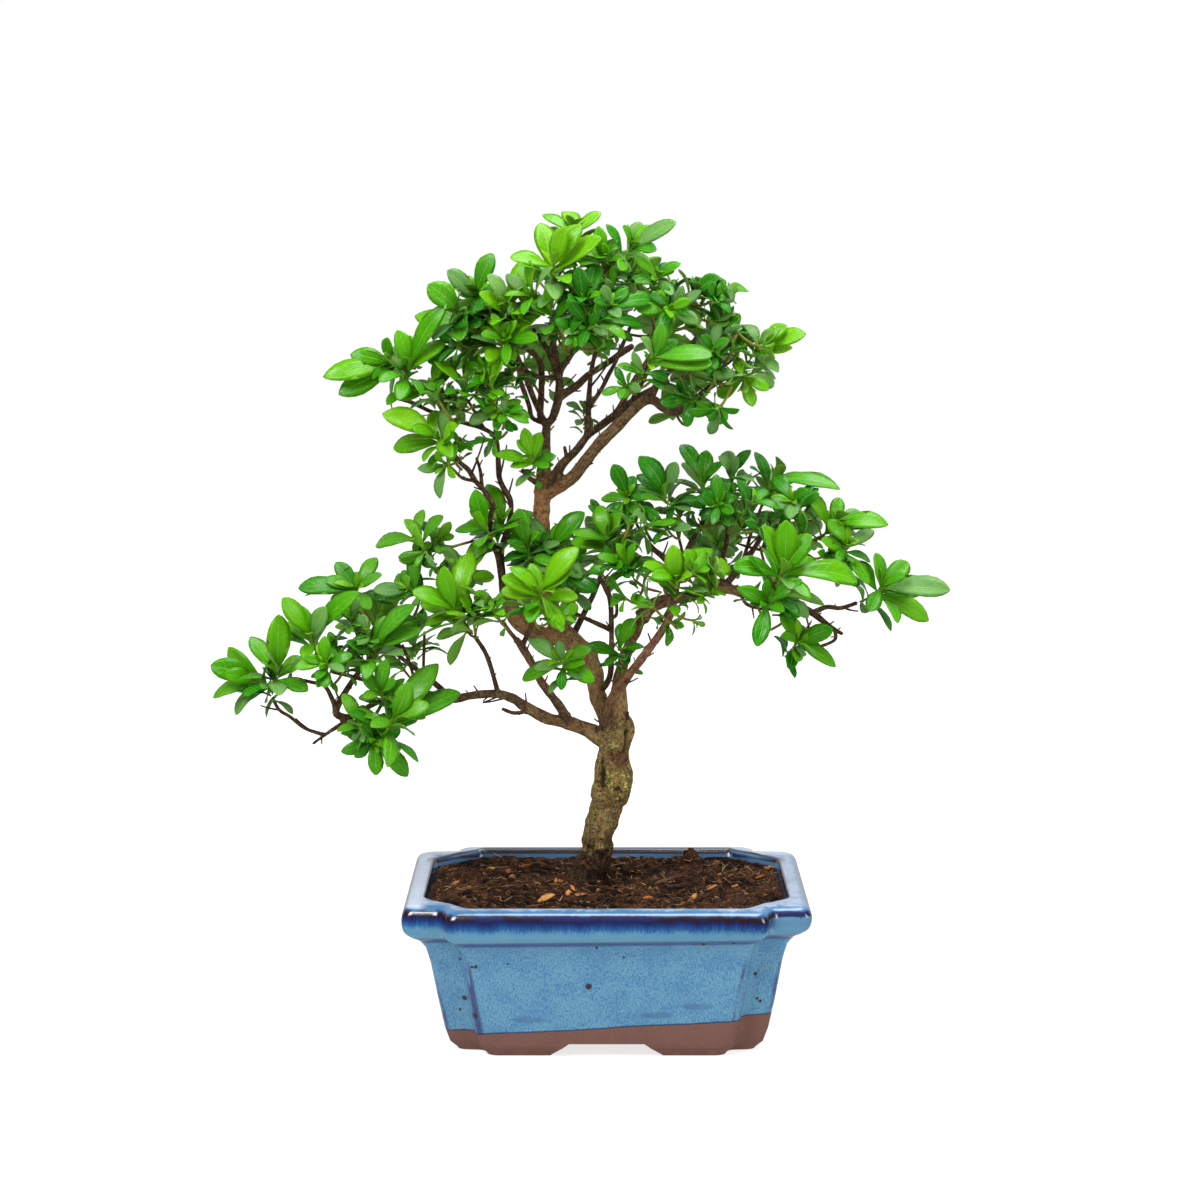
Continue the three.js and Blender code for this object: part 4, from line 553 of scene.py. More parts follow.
def arrays_of(mesh):
    """A mesh's points in millimetres and its triangles, with corners at the same place made one."""
    mesh.calc_loop_triangles()
    points = from_frame(read_rows(mesh.vertices, "co", 3, 3))
    triangles = read_rows(mesh.loop_triangles, "vertices", 3, 3, np.int32)
    rounded = np.round(points / 0.002).astype(np.int64)
    _, first, same = np.unique(rounded, axis=0, return_index=True, return_inverse=True)
    return points[first], same.reshape(-1)[triangles]


def worked_out(piece):
    """Points and triangles of a piece as its modifiers leave it. The piece is then removed."""
    shape = piece.evaluated_get(bpy.context.evaluated_depsgraph_get())
    result = arrays_of(shape.to_mesh())
    shape.to_mesh_clear()
    bpy.data.objects.remove(piece)
    return result


def finish_piece(piece, finishes, nodes=(), corners=None):
    """Gives a piece its materials, lets it ride on the root and stand for CAD nodes."""
    for finish in finishes:
        piece.data.materials.append(finish)
    if corners is not None:
        piece.data.set_sharp_from_angle(angle=math.radians(corners))
    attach(piece, "root")
    if nodes:
        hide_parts(*nodes)


# Materials

def colour(shade):
    """A colour's red, green and blue as seen on a screen, from 0 to 255, as the shader's linear values. A
    wire stays as it is."""
    if isinstance(shade, Wire):
        return shade
    shares = np.array(shade) / 255
    linear = np.where(shares <= 0.04045, shares / 12.92, ((shares + 0.055) / 1.055) ** 2.4)
    return (*linear.tolist(), 1.0)


SHADER_SOCKETS = {
    "base_color": "Base Color", "roughness": "Roughness", "normal": "Normal",
    "specular": "Specular IOR Level", "subsurface": "Subsurface Weight",
    "subsurface_scale": "Subsurface Scale", "subsurface_radius": "Subsurface Radius",
    "coat_weight": "Coat Weight", "coat_roughness": "Coat Roughness",
    "emission": "Emission Color", "emission_strength": "Emission Strength",
}


class Wire:
    """A socket of a material. Arithmetic on it adds Math nodes."""

    def __init__(self, finish, socket):
        self.finish = finish
        self.socket = socket

    def math(self, operation, *values):
        """The wire of a Math node."""
        return self.finish.node("ShaderNodeMath", {"operation": operation}, dict(enumerate(values)))

    def __add__(self, other):
        return self.math("ADD", self, other)

    def __sub__(self, other):
        return self.math("SUBTRACT", self, other)

    def __rsub__(self, other):
        return self.math("SUBTRACT", other, self)

    def __mul__(self, other):
        return self.math("MULTIPLY", self, other)

    def __truediv__(self, other):
        return self.math("DIVIDE", self, other)

    def __abs__(self):
        return self.math("ABSOLUTE", self)

    def most(self, other):
        """The larger of two."""
        return self.math("MAXIMUM", self, other)

    def step(self, low, high):
        """0 below low, 1 above high and smooth between them. Low may be the larger of the two."""
        settings = {"interpolation_type": "SMOOTHSTEP", "clamp": True}
        sockets = {"Value": self, "From Min": low, "From Max": high}
        return self.finish.node("ShaderNodeMapRange", settings, sockets)

    __radd__ = __add__
    __rmul__ = __mul__


def wave(value):
    """A smooth wave from 0 to 1, once for each whole number of a wire."""
    return value.math("COSINE", value * (2 * math.pi)) * 0.5 + 0.5


class Finish:
    """The nodes of one material or of the surround. They come from node(), and surface() ends a material."""

    def __init__(self, name, makers=None):
        self.material = (bpy.data.materials if makers is None else makers).new(name)
        self.material.use_nodes = True
        self.tree = self.material.node_tree
        self.tree.nodes.clear()

    def node(self, kind, settings=None, sockets=None, output=0):
        """Adds a node: its settings first, then the value or wire of each socket."""
        made = self.tree.nodes.new(kind)
        for name, setting in (settings or {}).items():
            if name == "stops":
                set_stops(made.color_ramp, setting)
            else:
                setattr(made, name, setting)
        for name, value in (sockets or {}).items():
            if isinstance(value, Wire):
                self.tree.links.new(value.socket, made.inputs[name])
            else:
                made.inputs[name].default_value = value
        return None if output is None else Wire(self, made.outputs[output])

    def place(self):
        """The piece's own coordinates, in metres."""
        return self.node("ShaderNodeTexCoord", output="Object")

    def layer(self, name):
        """Three numbers that the mesh stores for each point."""
        stored = self.node("ShaderNodeAttribute", {"attribute_name": name}, output="Vector")
        return self.parts(stored)

    def parts(self, vector):
        """The three numbers of a vector as wires."""
        split = self.node("ShaderNodeSeparateXYZ", None, {0: vector}).socket.node
        return [Wire(self, socket) for socket in split.outputs]

    def stretched(self, vector, across, deep, up):
        """A vector with its parts multiplied."""
        sockets = {0: vector, 1: (across, deep, up)}
        return self.node("ShaderNodeVectorMath", {"operation": "MULTIPLY"}, sockets)

    def speckle(self, vector, scale, detail=2.0, rough=0.5):
        """Noise from about 0 to 1."""
        sockets = {"Vector": vector, "Scale": scale, "Detail": detail, "Roughness": rough}
        return self.node("ShaderNodeTexNoise", None, sockets)

    def mix(self, factor, first, second, blend="MIX"):
        """One colour going over to another."""
        settings = {"data_type": "RGBA", "blend_type": blend, "clamp_factor": True}
        sockets = {0: factor, 6: colour(first), 7: colour(second)}
        return self.node("ShaderNodeMix", settings, sockets, output=2)

    def multiplied(self, factor, first, second):
        """A colour multiplied by another."""
        return self.mix(factor, first, second, "MULTIPLY")

    def coated(self, shade, coats):
        """A colour under others that are laid over it in turn, each with its share."""
        for share, tone in coats:
            shade = self.mix(share, shade, tone)
        return shade

    def ramp(self, value, *stops):
        """A colour by a value: it goes over from stop to stop, each a value and its colour."""
        return self.node("ShaderNodeValToRGB", {"stops": stops}, {0: value})

    def near(self, vector, point, reach):
        """1 at a point, and 0 beyond its reach."""
        sockets = {0: vector, 1: point}
        away = self.node("ShaderNodeVectorMath", {"operation": "DISTANCE"}, sockets, output="Value")
        return away.step(reach, reach * 0.6)

    def bump(self, height, depth, strength=1.0):
        """A normal from a height. Depth is the height of 1, in metres."""
        return self.node("ShaderNodeBump", None, {"Height": height, "Distance": depth, "Strength": strength})

    def surface(self, **sockets):
        """Ends the material in its shader."""
        named = {SHADER_SOCKETS[name]: value for name, value in sockets.items()}
        shader = self.node("ShaderNodeBsdfPrincipled", None, named)
        self.node("ShaderNodeOutputMaterial", None, {"Surface": shader}, output=None)
        return self.material


def set_stops(ramp, stops):
    """Gives a colour ramp its places and colours."""
    while len(ramp.elements) < len(stops):
        ramp.elements.new(1.0)
    for element, (place, shade) in zip(ramp.elements, stops):
        element.position = place
        element.color = colour(shade)


def make_leaf_finish():
    """A leaf blade: tone from its stored youth, pale midrib and side veins, gloss on the upper side."""
    finish = Finish("azalea_leaf")
    share, run, side = finish.layer("blade")
    youth, chance, paleness = finish.layer("leaf")
    across = abs(share)
    upper = side.step(-0.2, 0.2)
    spots = finish.speckle(finish.place(), 500.0, 3.0)
    patches = finish.speckle(finish.place(), 70.0, 2.0)
    tone = youth + (patches - 0.5) * 0.3 + (chance - 0.5) * 0.22 + (across - 0.5) * 0.06
    fresh = finish.ramp(tone, (0.0, (4, 82, 2)), (0.25, (28, 113, 2)), (0.5, (74, 144, 4)),
                        (0.75, (96, 157, 6)), (1.0, (116, 172, 20)))
    # Paleness turns a leaf grey green: partly a leaf's own pale tone, partly a painted sheen.
    pale_and_sheen_tone = finish.mix(paleness * 0.75, fresh, (96, 132, 78))
    beneath = finish.mix(0.45, pale_and_sheen_tone, (116, 150, 62))
    shade = finish.mix(upper, beneath, pale_and_sheen_tone)
    taper = 1 - run * 0.6
    midrib = (across / taper).step(0.085, 0.02)
    stripes = wave(run * 8.5 - across * 1.5)
    vein = stripes.step(0.86, 1.0) * across.step(0.95, 0.6)
    shade = finish.coated(shade, [
        (vein * 0.12, (130, 176, 50)),
        (midrib * 0.45, (150, 190, 60)),
    ])
    shade = finish.multiplied(0.6, shade, finish.mix(spots, (190, 210, 170), (255, 255, 255)))
    shade = finish.mix(run.step(0.12, 0.0) * 0.6, shade, (140, 150, 30))
    burnt = run.step(0.955, 1.0) * chance.step(0.6, 0.75)
    shade = finish.mix(burnt * 0.7, shade, (120, 90, 40))
    height = (1 - midrib) * 0.5 - vein * 0.25 + patches * 0.3 + spots * 0.06
    rough = 0.16 + spots * 0.16 + (1 - upper) * 0.3 + paleness * 0.15
    return finish.surface(
        base_color=shade,
        roughness=rough,
        normal=finish.bump(height, 0.0004, 0.6),
        specular=0.2,
        subsurface=0.15,
        subsurface_scale=0.0012,
        subsurface_radius=(0.4, 0.6, 0.02),
    )


def make_stem_finish():
    """A young stem: yellow green by its leaves, and going over to brown away from them."""
    finish = Finish("young_stem")
    near = finish.layer("leaf")[0]
    age = finish.speckle(finish.place(), 90.0, 2.0)
    fine = finish.speckle(finish.place(), 900.0, 3.0)
    shade = finish.ramp(near + (age - 0.5) * 0.4, (0.0, (66, 44, 28)), (0.35, (112, 78, 40)),
                        (0.65, (116, 118, 32)), (0.9, (60, 118, 12)))
    shade = finish.multiplied(0.6, shade, finish.mix(fine, (150, 140, 130), (255, 255, 255)))
    return finish.surface(base_color=shade, roughness=0.55 + fine * 0.2, specular=0.25,
                          normal=finish.bump(fine, 0.0003, 0.5))


# Leaves

def find_leaves(points, triangles):
    """Reads a spray's leaves from its solid. A leaf ends in a corner where only three faces meet. Below it
    come two rings of right edge, keel and left edge, and then the three points of its root. Each ring is
    found across the edges of the one above it. Gives point numbers: tips, outer, inner and root rings."""
    count = len(points)
    starts = triangles.T.ravel()
    ends = np.roll(triangles, -1, axis=1).T.ravel()
    opposite = np.roll(triangles, -2, axis=1).T.ravel()
    keys = starts.astype(np.int64) * count + ends
    order = np.argsort(keys)

    def beyond(start, end):
        """The third corner of the face with the edge from start to end."""
        found = np.searchsorted(keys[order], start.astype(np.int64) * count + end)
        return opposite[order[np.minimum(found, len(order) - 1)]]

    tips = np.flatnonzero(np.bincount(triangles.ravel(), minlength=count) == 3)
    at_tip = np.flatnonzero(np.isin(starts, tips))
    at_tip = at_tip[np.argsort(starts[at_tip], kind="stable")].reshape(-1, 3)
    first = ends[at_tip]
    second = opposite[at_tip[:, 0]]
    outer = np.stack([first[:, 0], second, first.sum(1) - first[:, 0] - second], 1)
    sides = np.linalg.norm(points[np.roll(outer, -1, 1)] - points[np.roll(outer, -2, 1)], axis=-1)
    turn = (np.argmax(sides, axis=1)[:, None] + np.array([-1, 0, 1])) % 3
    outer = np.take_along_axis(outer, turn, 1)
    inner = beyond(np.roll(outer, -1, 1), outer)
    roots = beyond(np.roll(inner, -1, 1), inner)
    long = np.linalg.norm(points[tips] - points[roots].mean(1), axis=1) > SHORTEST_LEAF
    return tips[long], outer[long], inner[long], roots[long]


def leaf_lines(points, tips, inner, roots):
    """Where each leaf starts, which way it runs, its upper side, its length and its half width."""
    root = points[roots].mean(1)
    run = points[tips] - root
    length = np.linalg.norm(run, axis=1)
    right, keel, left = points[inner].transpose(1, 0, 2)
    upper = unit(without((right + left) / 2 - keel, unit(run)))
    return {"root": root, "run": unit(run), "upper": upper, "length": length,
            "half": np.linalg.norm(right - left, axis=1) / 2}


def blade_widths(share, fullness):
    """A blade's half width along it, as a share of its widest: share to the power 0.9, times a power of
    one less a power of the share, which rounds the point. Fullness moves the widest place outward."""
    share = np.clip((share - 0.03) / 0.97, 0, 1)
    power = 1.7 + 0.8 * fullness
    rounding = 0.86 - 0.16 * fullness
    widest = (1 / (1 + power * rounding)) ** (1 / power)
    top = widest * (1 - widest ** power) ** rounding
    return share * np.maximum(1 - share ** power, 0) ** rounding / top


def blade_rings(leaves, seeds):
    """The rings of closed leaf blades. Their middle line is a straight run with a parabola upwards and a
    bend at the point. Across it each blade folds up from its midrib and curls down at the margins, and it
    twists a little. The start is a round leaf stalk."""
    root, run, upper = leaves["root"], leaves["run"], leaves["upper"]
    length, half = leaves["length"][:, None], leaves["half"][:, None]
    arched, drooped, swayed, full, turned, folded, curled = (scatter(seeds, k)[:, None] for k in range(1, 8))
    share = BLADE_ROWS[None, :]
    arch = LEAF_ARCH * (0.6 + 0.9 * arched) * 4 * share * (1 - share)
    droop = -0.1 * (drooped - 0.25) * smooth_step(0.45, 1, share) ** 2
    sway = 0.05 * (swayed - 0.5) * 4 * share * (1 - share)
    side = np.cross(run, upper)
    middle = (root[:, None] + run[:, None] * (length * share)[..., None]
              + upper[:, None] * (length * (arch + droop))[..., None]
              + side[:, None] * (length * sway)[..., None])
    wide = np.maximum(half * 1.06 * blade_widths(share, full), PETIOLE_RADIUS * (1 - 0.6 * share))
    turn = 0.7 * (turned - 0.5) * smooth_step(0.05, 1, share)
    cos, sin = np.cos(turn)[..., None], np.sin(turn)[..., None]
    out = side[:, None] * cos + upper[:, None] * sin
    lift = upper[:, None] * cos - side[:, None] * sin
    spread = BLADE_SHARES[None, None, :] * wide[..., None]
    fold = (0.16 + 0.2 * folded)[..., None] * smooth_step(0.05, 0.3, share)[..., None]
    bend = fold * np.abs(BLADE_SHARES) ** 1.3 - 0.14 * curled[..., None] * BLADE_SHARES ** 4
    waves = share[..., None] * (9 + 6 * arched[..., None]) + BLADE_SHARES * 2
    ripple = 0.05 * np.sin(waves) * BLADE_SHARES ** 2
    stalk = 1 - smooth_step(0.03, 0.2, share)
    thick = BLADE_THICKNESS / 2 + (PETIOLE_RADIUS - BLADE_THICKNESS / 2) * stalk
    rib = np.where(BLADE_LAYERS < 0, 1.0, 0.35) * (BLADE_SHARES == 0) * 0.14
    height = wide[..., None] * (bend + ripple * (1 - stalk[..., None]))
    height = height + BLADE_LAYERS * (thick[..., None] + rib)
    return middle[:, :, None] + out[:, :, None] * spread[..., None] + lift[:, :, None] * height[..., None]


def blade_layers(count):
    """For each point of the blades: share across, share along and side, with the two poles last."""
    rows = len(BLADE_ROWS)
    grid = np.empty((rows, len(BLADE_SHARES), 3))
    grid[..., 0] = BLADE_SHARES
    grid[..., 1] = BLADE_ROWS[:, None]
    grid[..., 2] = BLADE_LAYERS
    one = np.concatenate([grid.reshape(-1, 3), [[0, 0, 0], [0, 1, 0]]])
    return np.tile(one, (count, 1))


def whorls_of(leaves):
    """Groups leaves whose roots stand within reach of each other, by giving each the lowest number that
    its neighbours have, six times over. Gives each group's middle, axis, length, half width and count, and
    the group of each leaf."""
    root = leaves["root"]
    near = np.linalg.norm(root[:, None] - root[None], axis=-1) < WHORL_REACH
    labels = np.arange(len(root))
    for _ in range(6):
        labels = np.where(near, labels[None], len(root)).min(1)
    _, group = np.unique(labels, return_inverse=True)
    members = np.bincount(group)[:, None]

    def mean(values):
        """The mean of each group's values."""
        total = np.zeros((len(members), values.shape[1]))
        np.add.at(total, group, values)
        return total / members

    axis = unit(mean(leaves["run"]) + np.array([0, -0.05, 0.12]))
    sizes = mean(np.stack([leaves["length"], leaves["half"]], 1))
    return {"middle": mean(root), "axis": axis, "length": sizes[:, 0], "half": sizes[:, 1],
            "count": members[:, 0], "group": group}


def counted(whorls, count):
    """Numbers of a whorl's leaves and of the whorls, and each whorl's axis with two directions across."""
    numbers = np.arange(count)[None, :, None]
    base = np.arange(len(whorls["axis"]))[:, None, None]
    axis = whorls["axis"][:, None]
    return numbers, base, axis, *both_across(axis)


def rule_leaves(whorls, shares, leans, back, seed):
    """Leaves that stand round each whorl's axis by the golden angle. Each has a share of the whorl's leaf
    length and leans from the axis by an angle. They start back along the axis by some millimetres."""
    numbers, base, axis, side, other = counted(whorls, len(shares))
    around = numbers * GOLDEN_ANGLE + scatter(base, seed) * 2 * math.pi + 0.5 * scatter(base, numbers, seed)
    lean = np.radians(np.asarray(leans))[None, :, None] * (0.8 + 0.4 * scatter(numbers, base, seed + 1))
    out = side * np.cos(around) + other * np.sin(around)
    run = unit(axis * np.cos(lean) + out * np.sin(lean))
    size = np.asarray(shares)[None, :, None] * (0.85 + 0.3 * scatter(base, numbers, seed + 2))
    root = whorls["middle"][:, None] - axis * np.broadcast_to(back, len(shares))[None, :, None] + out * 0.5
    upper = unit(without(np.broadcast_to(axis, run.shape), run))
    count = len(whorls["axis"]) * len(shares)
    return {"root": root.reshape(count, 3), "run": run.reshape(count, 3), "upper": upper.reshape(count, 3),
            "length": (whorls["length"][:, None, None] * size).reshape(count),
            "half": (whorls["half"][:, None, None] * size * 0.86).reshape(count)}


def side_shoots(whorls, count, seed):
    """Smaller whorls that branch off behind each whorl: their middles lie back along its axis and out to
    one side, and their axes lean the same way. Gives them and the places where they leave the stem."""
    numbers, base, axis, side, other = counted(whorls, count)
    around = numbers / max(count, 1) + scatter(base, seed, 3) + 0.2 * scatter(base, numbers, seed)
    around = around * 2 * math.pi
    out = side * np.cos(around) + other * np.sin(around)
    back = within(SHOOT_BACK, scatter(numbers, base, seed + 8))
    away = within(SHOOT_OUT, scatter(numbers, base, seed + 9))
    middle = (whorls["middle"][:, None] - axis * back + out * away).reshape(-1, 3)
    leaving = (whorls["middle"][:, None] - axis * (back + away * 0.9)).reshape(-1, 3)
    lean = unit(axis * 0.6 + out + np.array([0, 0, 0.25])).reshape(-1, 3)
    size = (0.68 + 0.24 * scatter(base, numbers, seed + 11))[..., 0]
    return {"middle": middle, "axis": lean, "length": (whorls["length"][:, None] * size).ravel(),
            "half": (whorls["half"][:, None] * size).ravel()}, leaving


def shoot_stems(leaving, middle):
    """Thin stems to side shoots: rings round a straight line that sags by half a wave of a sine."""
    share = np.linspace(0, 1, 4)[None, :, None]
    line = leaving[:, None] + (middle - leaving)[:, None] * share
    line = line - np.array([0, 0, 1.2]) * np.sin(share * math.pi)
    run = unit(middle - leaving)[:, None]
    ring = round_about(*both_across(run, np.array([0.2, 0.95, 0.25])), 6)
    return closed_tubes(line[:, :, None] + ring * SHOOT_RADIUS, leaving, middle + run[:, 0] * 0.6)


def filling_leaves(leaves, whorls, seed):
    """Leaves that fill each whorl up. Directions stand round the axis by the golden angle, and the ones
    farthest from the leaves that the whorl already has are taken."""
    numbers, base, axis, side, other = counted(whorls, FILL_TRIED)
    around = numbers * GOLDEN_ANGLE + scatter(base, seed, 7) * 2 * math.pi
    lean = np.radians(within(FILL_LEANS, scatter(base, numbers, seed)))
    out = side * np.cos(around) + other * np.sin(around)
    run = unit(axis * np.cos(lean) + out * np.sin(lean))
    closeness = np.einsum("wcd,nd->wcn", run, leaves["run"])
    closeness = np.where(whorls["group"][None, None] == base, closeness, -1).max(-1)
    rank = np.argsort(np.argsort(closeness, axis=1), axis=1)
    taken = rank < (FULL_WHORL - whorls["count"])[:, None]
    share = within(FILL_SHARES, scatter(numbers, base, seed + 5))
    back = 1 + 3.5 * scatter(numbers, base, seed + 6)
    root = whorls["middle"][:, None] - axis * back + out * 0.4
    upper = unit(without(np.broadcast_to(axis, run.shape), run))
    length = (whorls["length"][:, None, None] * share)[taken][:, 0]
    slimness = (whorls["half"] / whorls["length"])[:, None].repeat(FILL_TRIED, 1)[taken]
    return {"root": root[taken], "run": run[taken], "upper": upper[taken], "length": length,
            "half": slimness * length}


def stem_of(points, triangles, tips, outer, inner, roots):
    """A spray's stems: the solid without its leaves, closed where they stood, and rounded by subdivision."""
    leafy = np.isin(triangles, np.concatenate([tips, outer.ravel(), inner.ravel()])).any(1)
    kept = np.concatenate([triangles[~leafy], roots])
    used, renumbered = np.unique(kept, return_inverse=True)
    rough = new_mesh("stem_to_round", points[used], renumbered.reshape(-1, 3))
    rounding = rough.modifiers.new("rounding", "SUBSURF")
    rounding.levels = 2
    rounding.render_levels = 2
    return worked_out(rough)


def joined(parts):
    """Some sets of leaves as one."""
    return {key: np.concatenate([part[key] for part in parts]) for key in parts[0]}


def drawn_in(leaves, whorls):
    """Leaves with their roots moved most of the way in to their whorl's axis, and their points kept."""
    group = whorls["group"]
    axis = whorls["axis"][group]
    offset = without(leaves["root"] - whorls["middle"][group], axis)
    root = leaves["root"] - offset * HUB_SQUEEZE
    run = leaves["root"] + leaves["run"] * leaves["length"][:, None] - root
    return {"root": root, "run": unit(run), "upper": unit(without(leaves["upper"], unit(run))),
            "length": np.linalg.norm(run, axis=1), "half": leaves["half"]}


def slimmed(points, whorls):
    """Stem points, drawn in to the nearest whorl's axis where they are close to it, and how near each is."""
    away = np.linalg.norm(points[:, None] - whorls["middle"][None], axis=-1)
    nearest = np.argmin(away, axis=1)
    distance = away.min(1)
    axis = whorls["axis"][nearest]
    offset = without(points - whorls["middle"][nearest], axis)
    share = HUB_SQUEEZE * smooth_step(9.5, 4.5, distance)[:, None]
    return points - offset * share, smooth_step(22, 4, distance)


def make_spray(number, node, youth, paleness, shoots, finishes):
    """A spray's fine piece: its leaves redrawn as blades, more leaves to fill each whorl, older leaves
    below it, smaller side shoots behind it, young leaves in its middle, and round stems."""
    points, triangles = arrays_of(frame["nodes"][node].data)
    tips, outer, inner, roots = find_leaves(points, triangles)
    leaves = leaf_lines(points, tips, inner, roots)
    whorls = whorls_of(leaves)
    sides, leaving = side_shoots(whorls, shoots, number)
    sets = [
        (drawn_in(leaves, whorls), 0.0),
        (filling_leaves(leaves, whorls, number), -0.25),
        (rule_leaves(whorls, OLD_SHARES, OLD_LEANS, OLD_BACKS, number + 31), -0.4),
        (rule_leaves(sides, SIDE_SHARES, SIDE_LEANS, 0.0, number + 47), -0.2),
        (rule_leaves(whorls, YOUNG_SHARES, YOUNG_LEANS, -1.0, number), 0.25),
    ]
    every = joined([leaf_set for leaf_set, _ in sets])
    shift = np.concatenate([np.full(len(leaf_set["length"]), share) for leaf_set, share in sets])
    count = len(shift)
    seeds = np.arange(count) + number * LEAF_SEED_STEP
    rings = blade_rings(every, seeds)
    start = every["root"] - every["run"] * 0.4
    last, before = rings[:, -1].mean(1), rings[:, -2].mean(1)
    end = last + unit(last - before) * (every["length"][:, None] * 0.035)
    blades = closed_tubes(rings, start, end)
    stems = shoot_stems(leaving, sides["middle"])
    stem_points, stem_faces = stem_of(points, triangles, tips, outer, inner, roots)
    stem_points, near = slimmed(stem_points, whorls)
    first_stem = len(blades[0])
    last_stem = first_stem + len(stems[0])
    piece = new_mesh(node + "_leaves", np.concatenate([blades[0], stems[0], stem_points]), blades[1],
                     blades[2], stems[1] + first_stem, stems[2] + first_stem, stem_faces + last_stem)
    fresh = youth * (1 + shift * (shift < 0)) + shift * (shift > 0)
    fresh = fresh + YOUTH_SPREAD * (scatter(seeds, 21) - 0.5)
    # Chance picks some leaves to be greyed: partly their own pale tone, partly a painted sheen.
    pale_and_sheen = np.maximum(paleness, PALE_SHEEN * (scatter(seeds, 23) > PALE_SHEEN_FROM))
    about = np.stack([fresh, scatter(seeds, 22), pale_and_sheen * (shift <= 0)], 1)
    on_stems = np.zeros((len(stems[0]) + len(stem_points), 3))
    on_stems[:, 0] = np.concatenate([np.full(len(stems[0]), 0.6), near])
    set_layer(piece, "blade", np.concatenate([blade_layers(count), np.zeros_like(on_stems)]))
    set_layer(piece, "leaf", np.concatenate([per_point(about, rings), on_stems]))
    is_stem = np.zeros(len(piece.data.polygons), np.int32)
    is_stem[len(blades[1]) + len(blades[2]):] = 1
    finish_piece(piece, finishes, [node])
    piece.data.polygons.foreach_set("material_index", is_stem)
    return len(tips), count


# The wood

def lay_out_limbs():
    """Each limb as rows of across, up, depth and radius on a smooth curve through its stations."""
    limbs = {"trunk": spline(TRUNK, 6)}
    for name, carrier, depths, radii, path in LIMBS + ROOTS:
        rows = np.zeros((len(path) // 2, 4))
        rows[:, :2] = np.reshape(path, (-1, 2))
        host = limbs[carrier]
        start = host[np.argmin(np.hypot(host[:, 0] - rows[0, 0], host[:, 1] - rows[0, 1]))]
        shares = np.linspace(0, 1, len(rows))
        rows[:, 2] = resampled([start[2], *depths], shares)
        rows[:, 3] = resampled(radii, shares)
        rows[0, :2] = start[:2]
        limbs[name] = spline(rows, 6 if max(radii) > 2 else 5)
    return limbs


def limb_frames(rows):
    """A limb's places, its direction and two directions across it. The first of these is the direction
    that its whole run turns away from least, so that the section doesn't twist."""
    places = seen(rows[:, 0], rows[:, 1], rows[:, 2])
    run = unit(np.gradient(places, axis=0))
    flattest = np.linalg.svd(run)[2][2]
    side = unit(without(flattest, run))
    return places, run, side, np.cross(run, side)


def limb_rings(rows, columns, seed, swell):
    """Rings round a limb: its radius with a swollen start, small knuckles and an uneven outline."""
    places, run, side, other = limb_frames(rows)
    far = far_along(places)
    radius = rows[:, 3] * (1 + swell * np.exp(-far / (3.2 * rows[0, 3])))
    knuckles = 0.1 * noise(np.column_stack([far, np.zeros_like(far), np.full_like(far, seed)]), 3.6, 5)
    radius = radius * (1 + knuckles)
    angle = circle(columns)
    oval = 0.07 * np.cos(2 * angle[None] + far[:, None] / 9 + seed)
    spread = radius[:, None] * (1 + oval + 0.04 * np.cos(3 * angle[None] + seed))
    rings = places[:, None] + round_about(side, other, columns) * spread[..., None]
    grain = [np.cos(angle)[None] * radius[:, None], np.sin(angle)[None] * radius[:, None],
             far[:, None] + seed * GRAIN_SHIFT]
    start, end = places[0] - run[0] * 0.3, places[-1] + run[-1] * radius[-1] * 0.7
    return rings, np.stack(np.broadcast_arrays(*grain), -1), start, end


def one_tube(rings, start, end):
    """One closed tube from its rings and its two poles."""
    return closed_tubes(rings[None], start[None], end[None])


def gathered(tubes):
    """Points, quads and triangles of many tubes as one set."""
    starts = np.cumsum([0] + [len(tube[0]) for tube in tubes])
    points = np.concatenate([tube[0] for tube in tubes])
    quads = np.concatenate([tube[1] + shift for tube, shift in zip(tubes, starts)])
    ends = np.concatenate([tube[2] + shift for tube, shift in zip(tubes, starts)])
    return points, quads, ends


def grown_together(piece, voxel, rounds):
    """A piece's skin after its overlapping tubes have grown into one and been smoothed. Gives points, quads
    and the directions that face outwards."""
    remesh = piece.modifiers.new("one_skin", "REMESH")
    remesh.mode = "VOXEL"
    remesh.voxel_size = voxel * 0.001
    smooth = piece.modifiers.new("softened", "SMOOTH")
    smooth.factor = 0.5
    smooth.iterations = rounds
    shape = piece.evaluated_get(bpy.context.evaluated_depsgraph_get())
    mesh = shape.to_mesh()
    points = from_frame(read_rows(mesh.vertices, "co", 3, 3))
    normals = read_rows(mesh.vertices, "normal", 3, 3)
    quads = read_rows(mesh.loops, "vertex_index", 1, 4, np.int32)
    shape.to_mesh_clear()
    bpy.data.objects.remove(piece)
    return points, quads, normals


def nearest_stations(points, stations):
    """The number of the station nearest to each point, for some thousands of points at a time."""
    found = []
    for part in np.array_split(points, len(points) // 4000 + 1):
        away = np.sum(stations ** 2, 1)[None] - 2 * part @ stations.T
        found.append(np.argmin(away, axis=1))
    return np.concatenate(found)


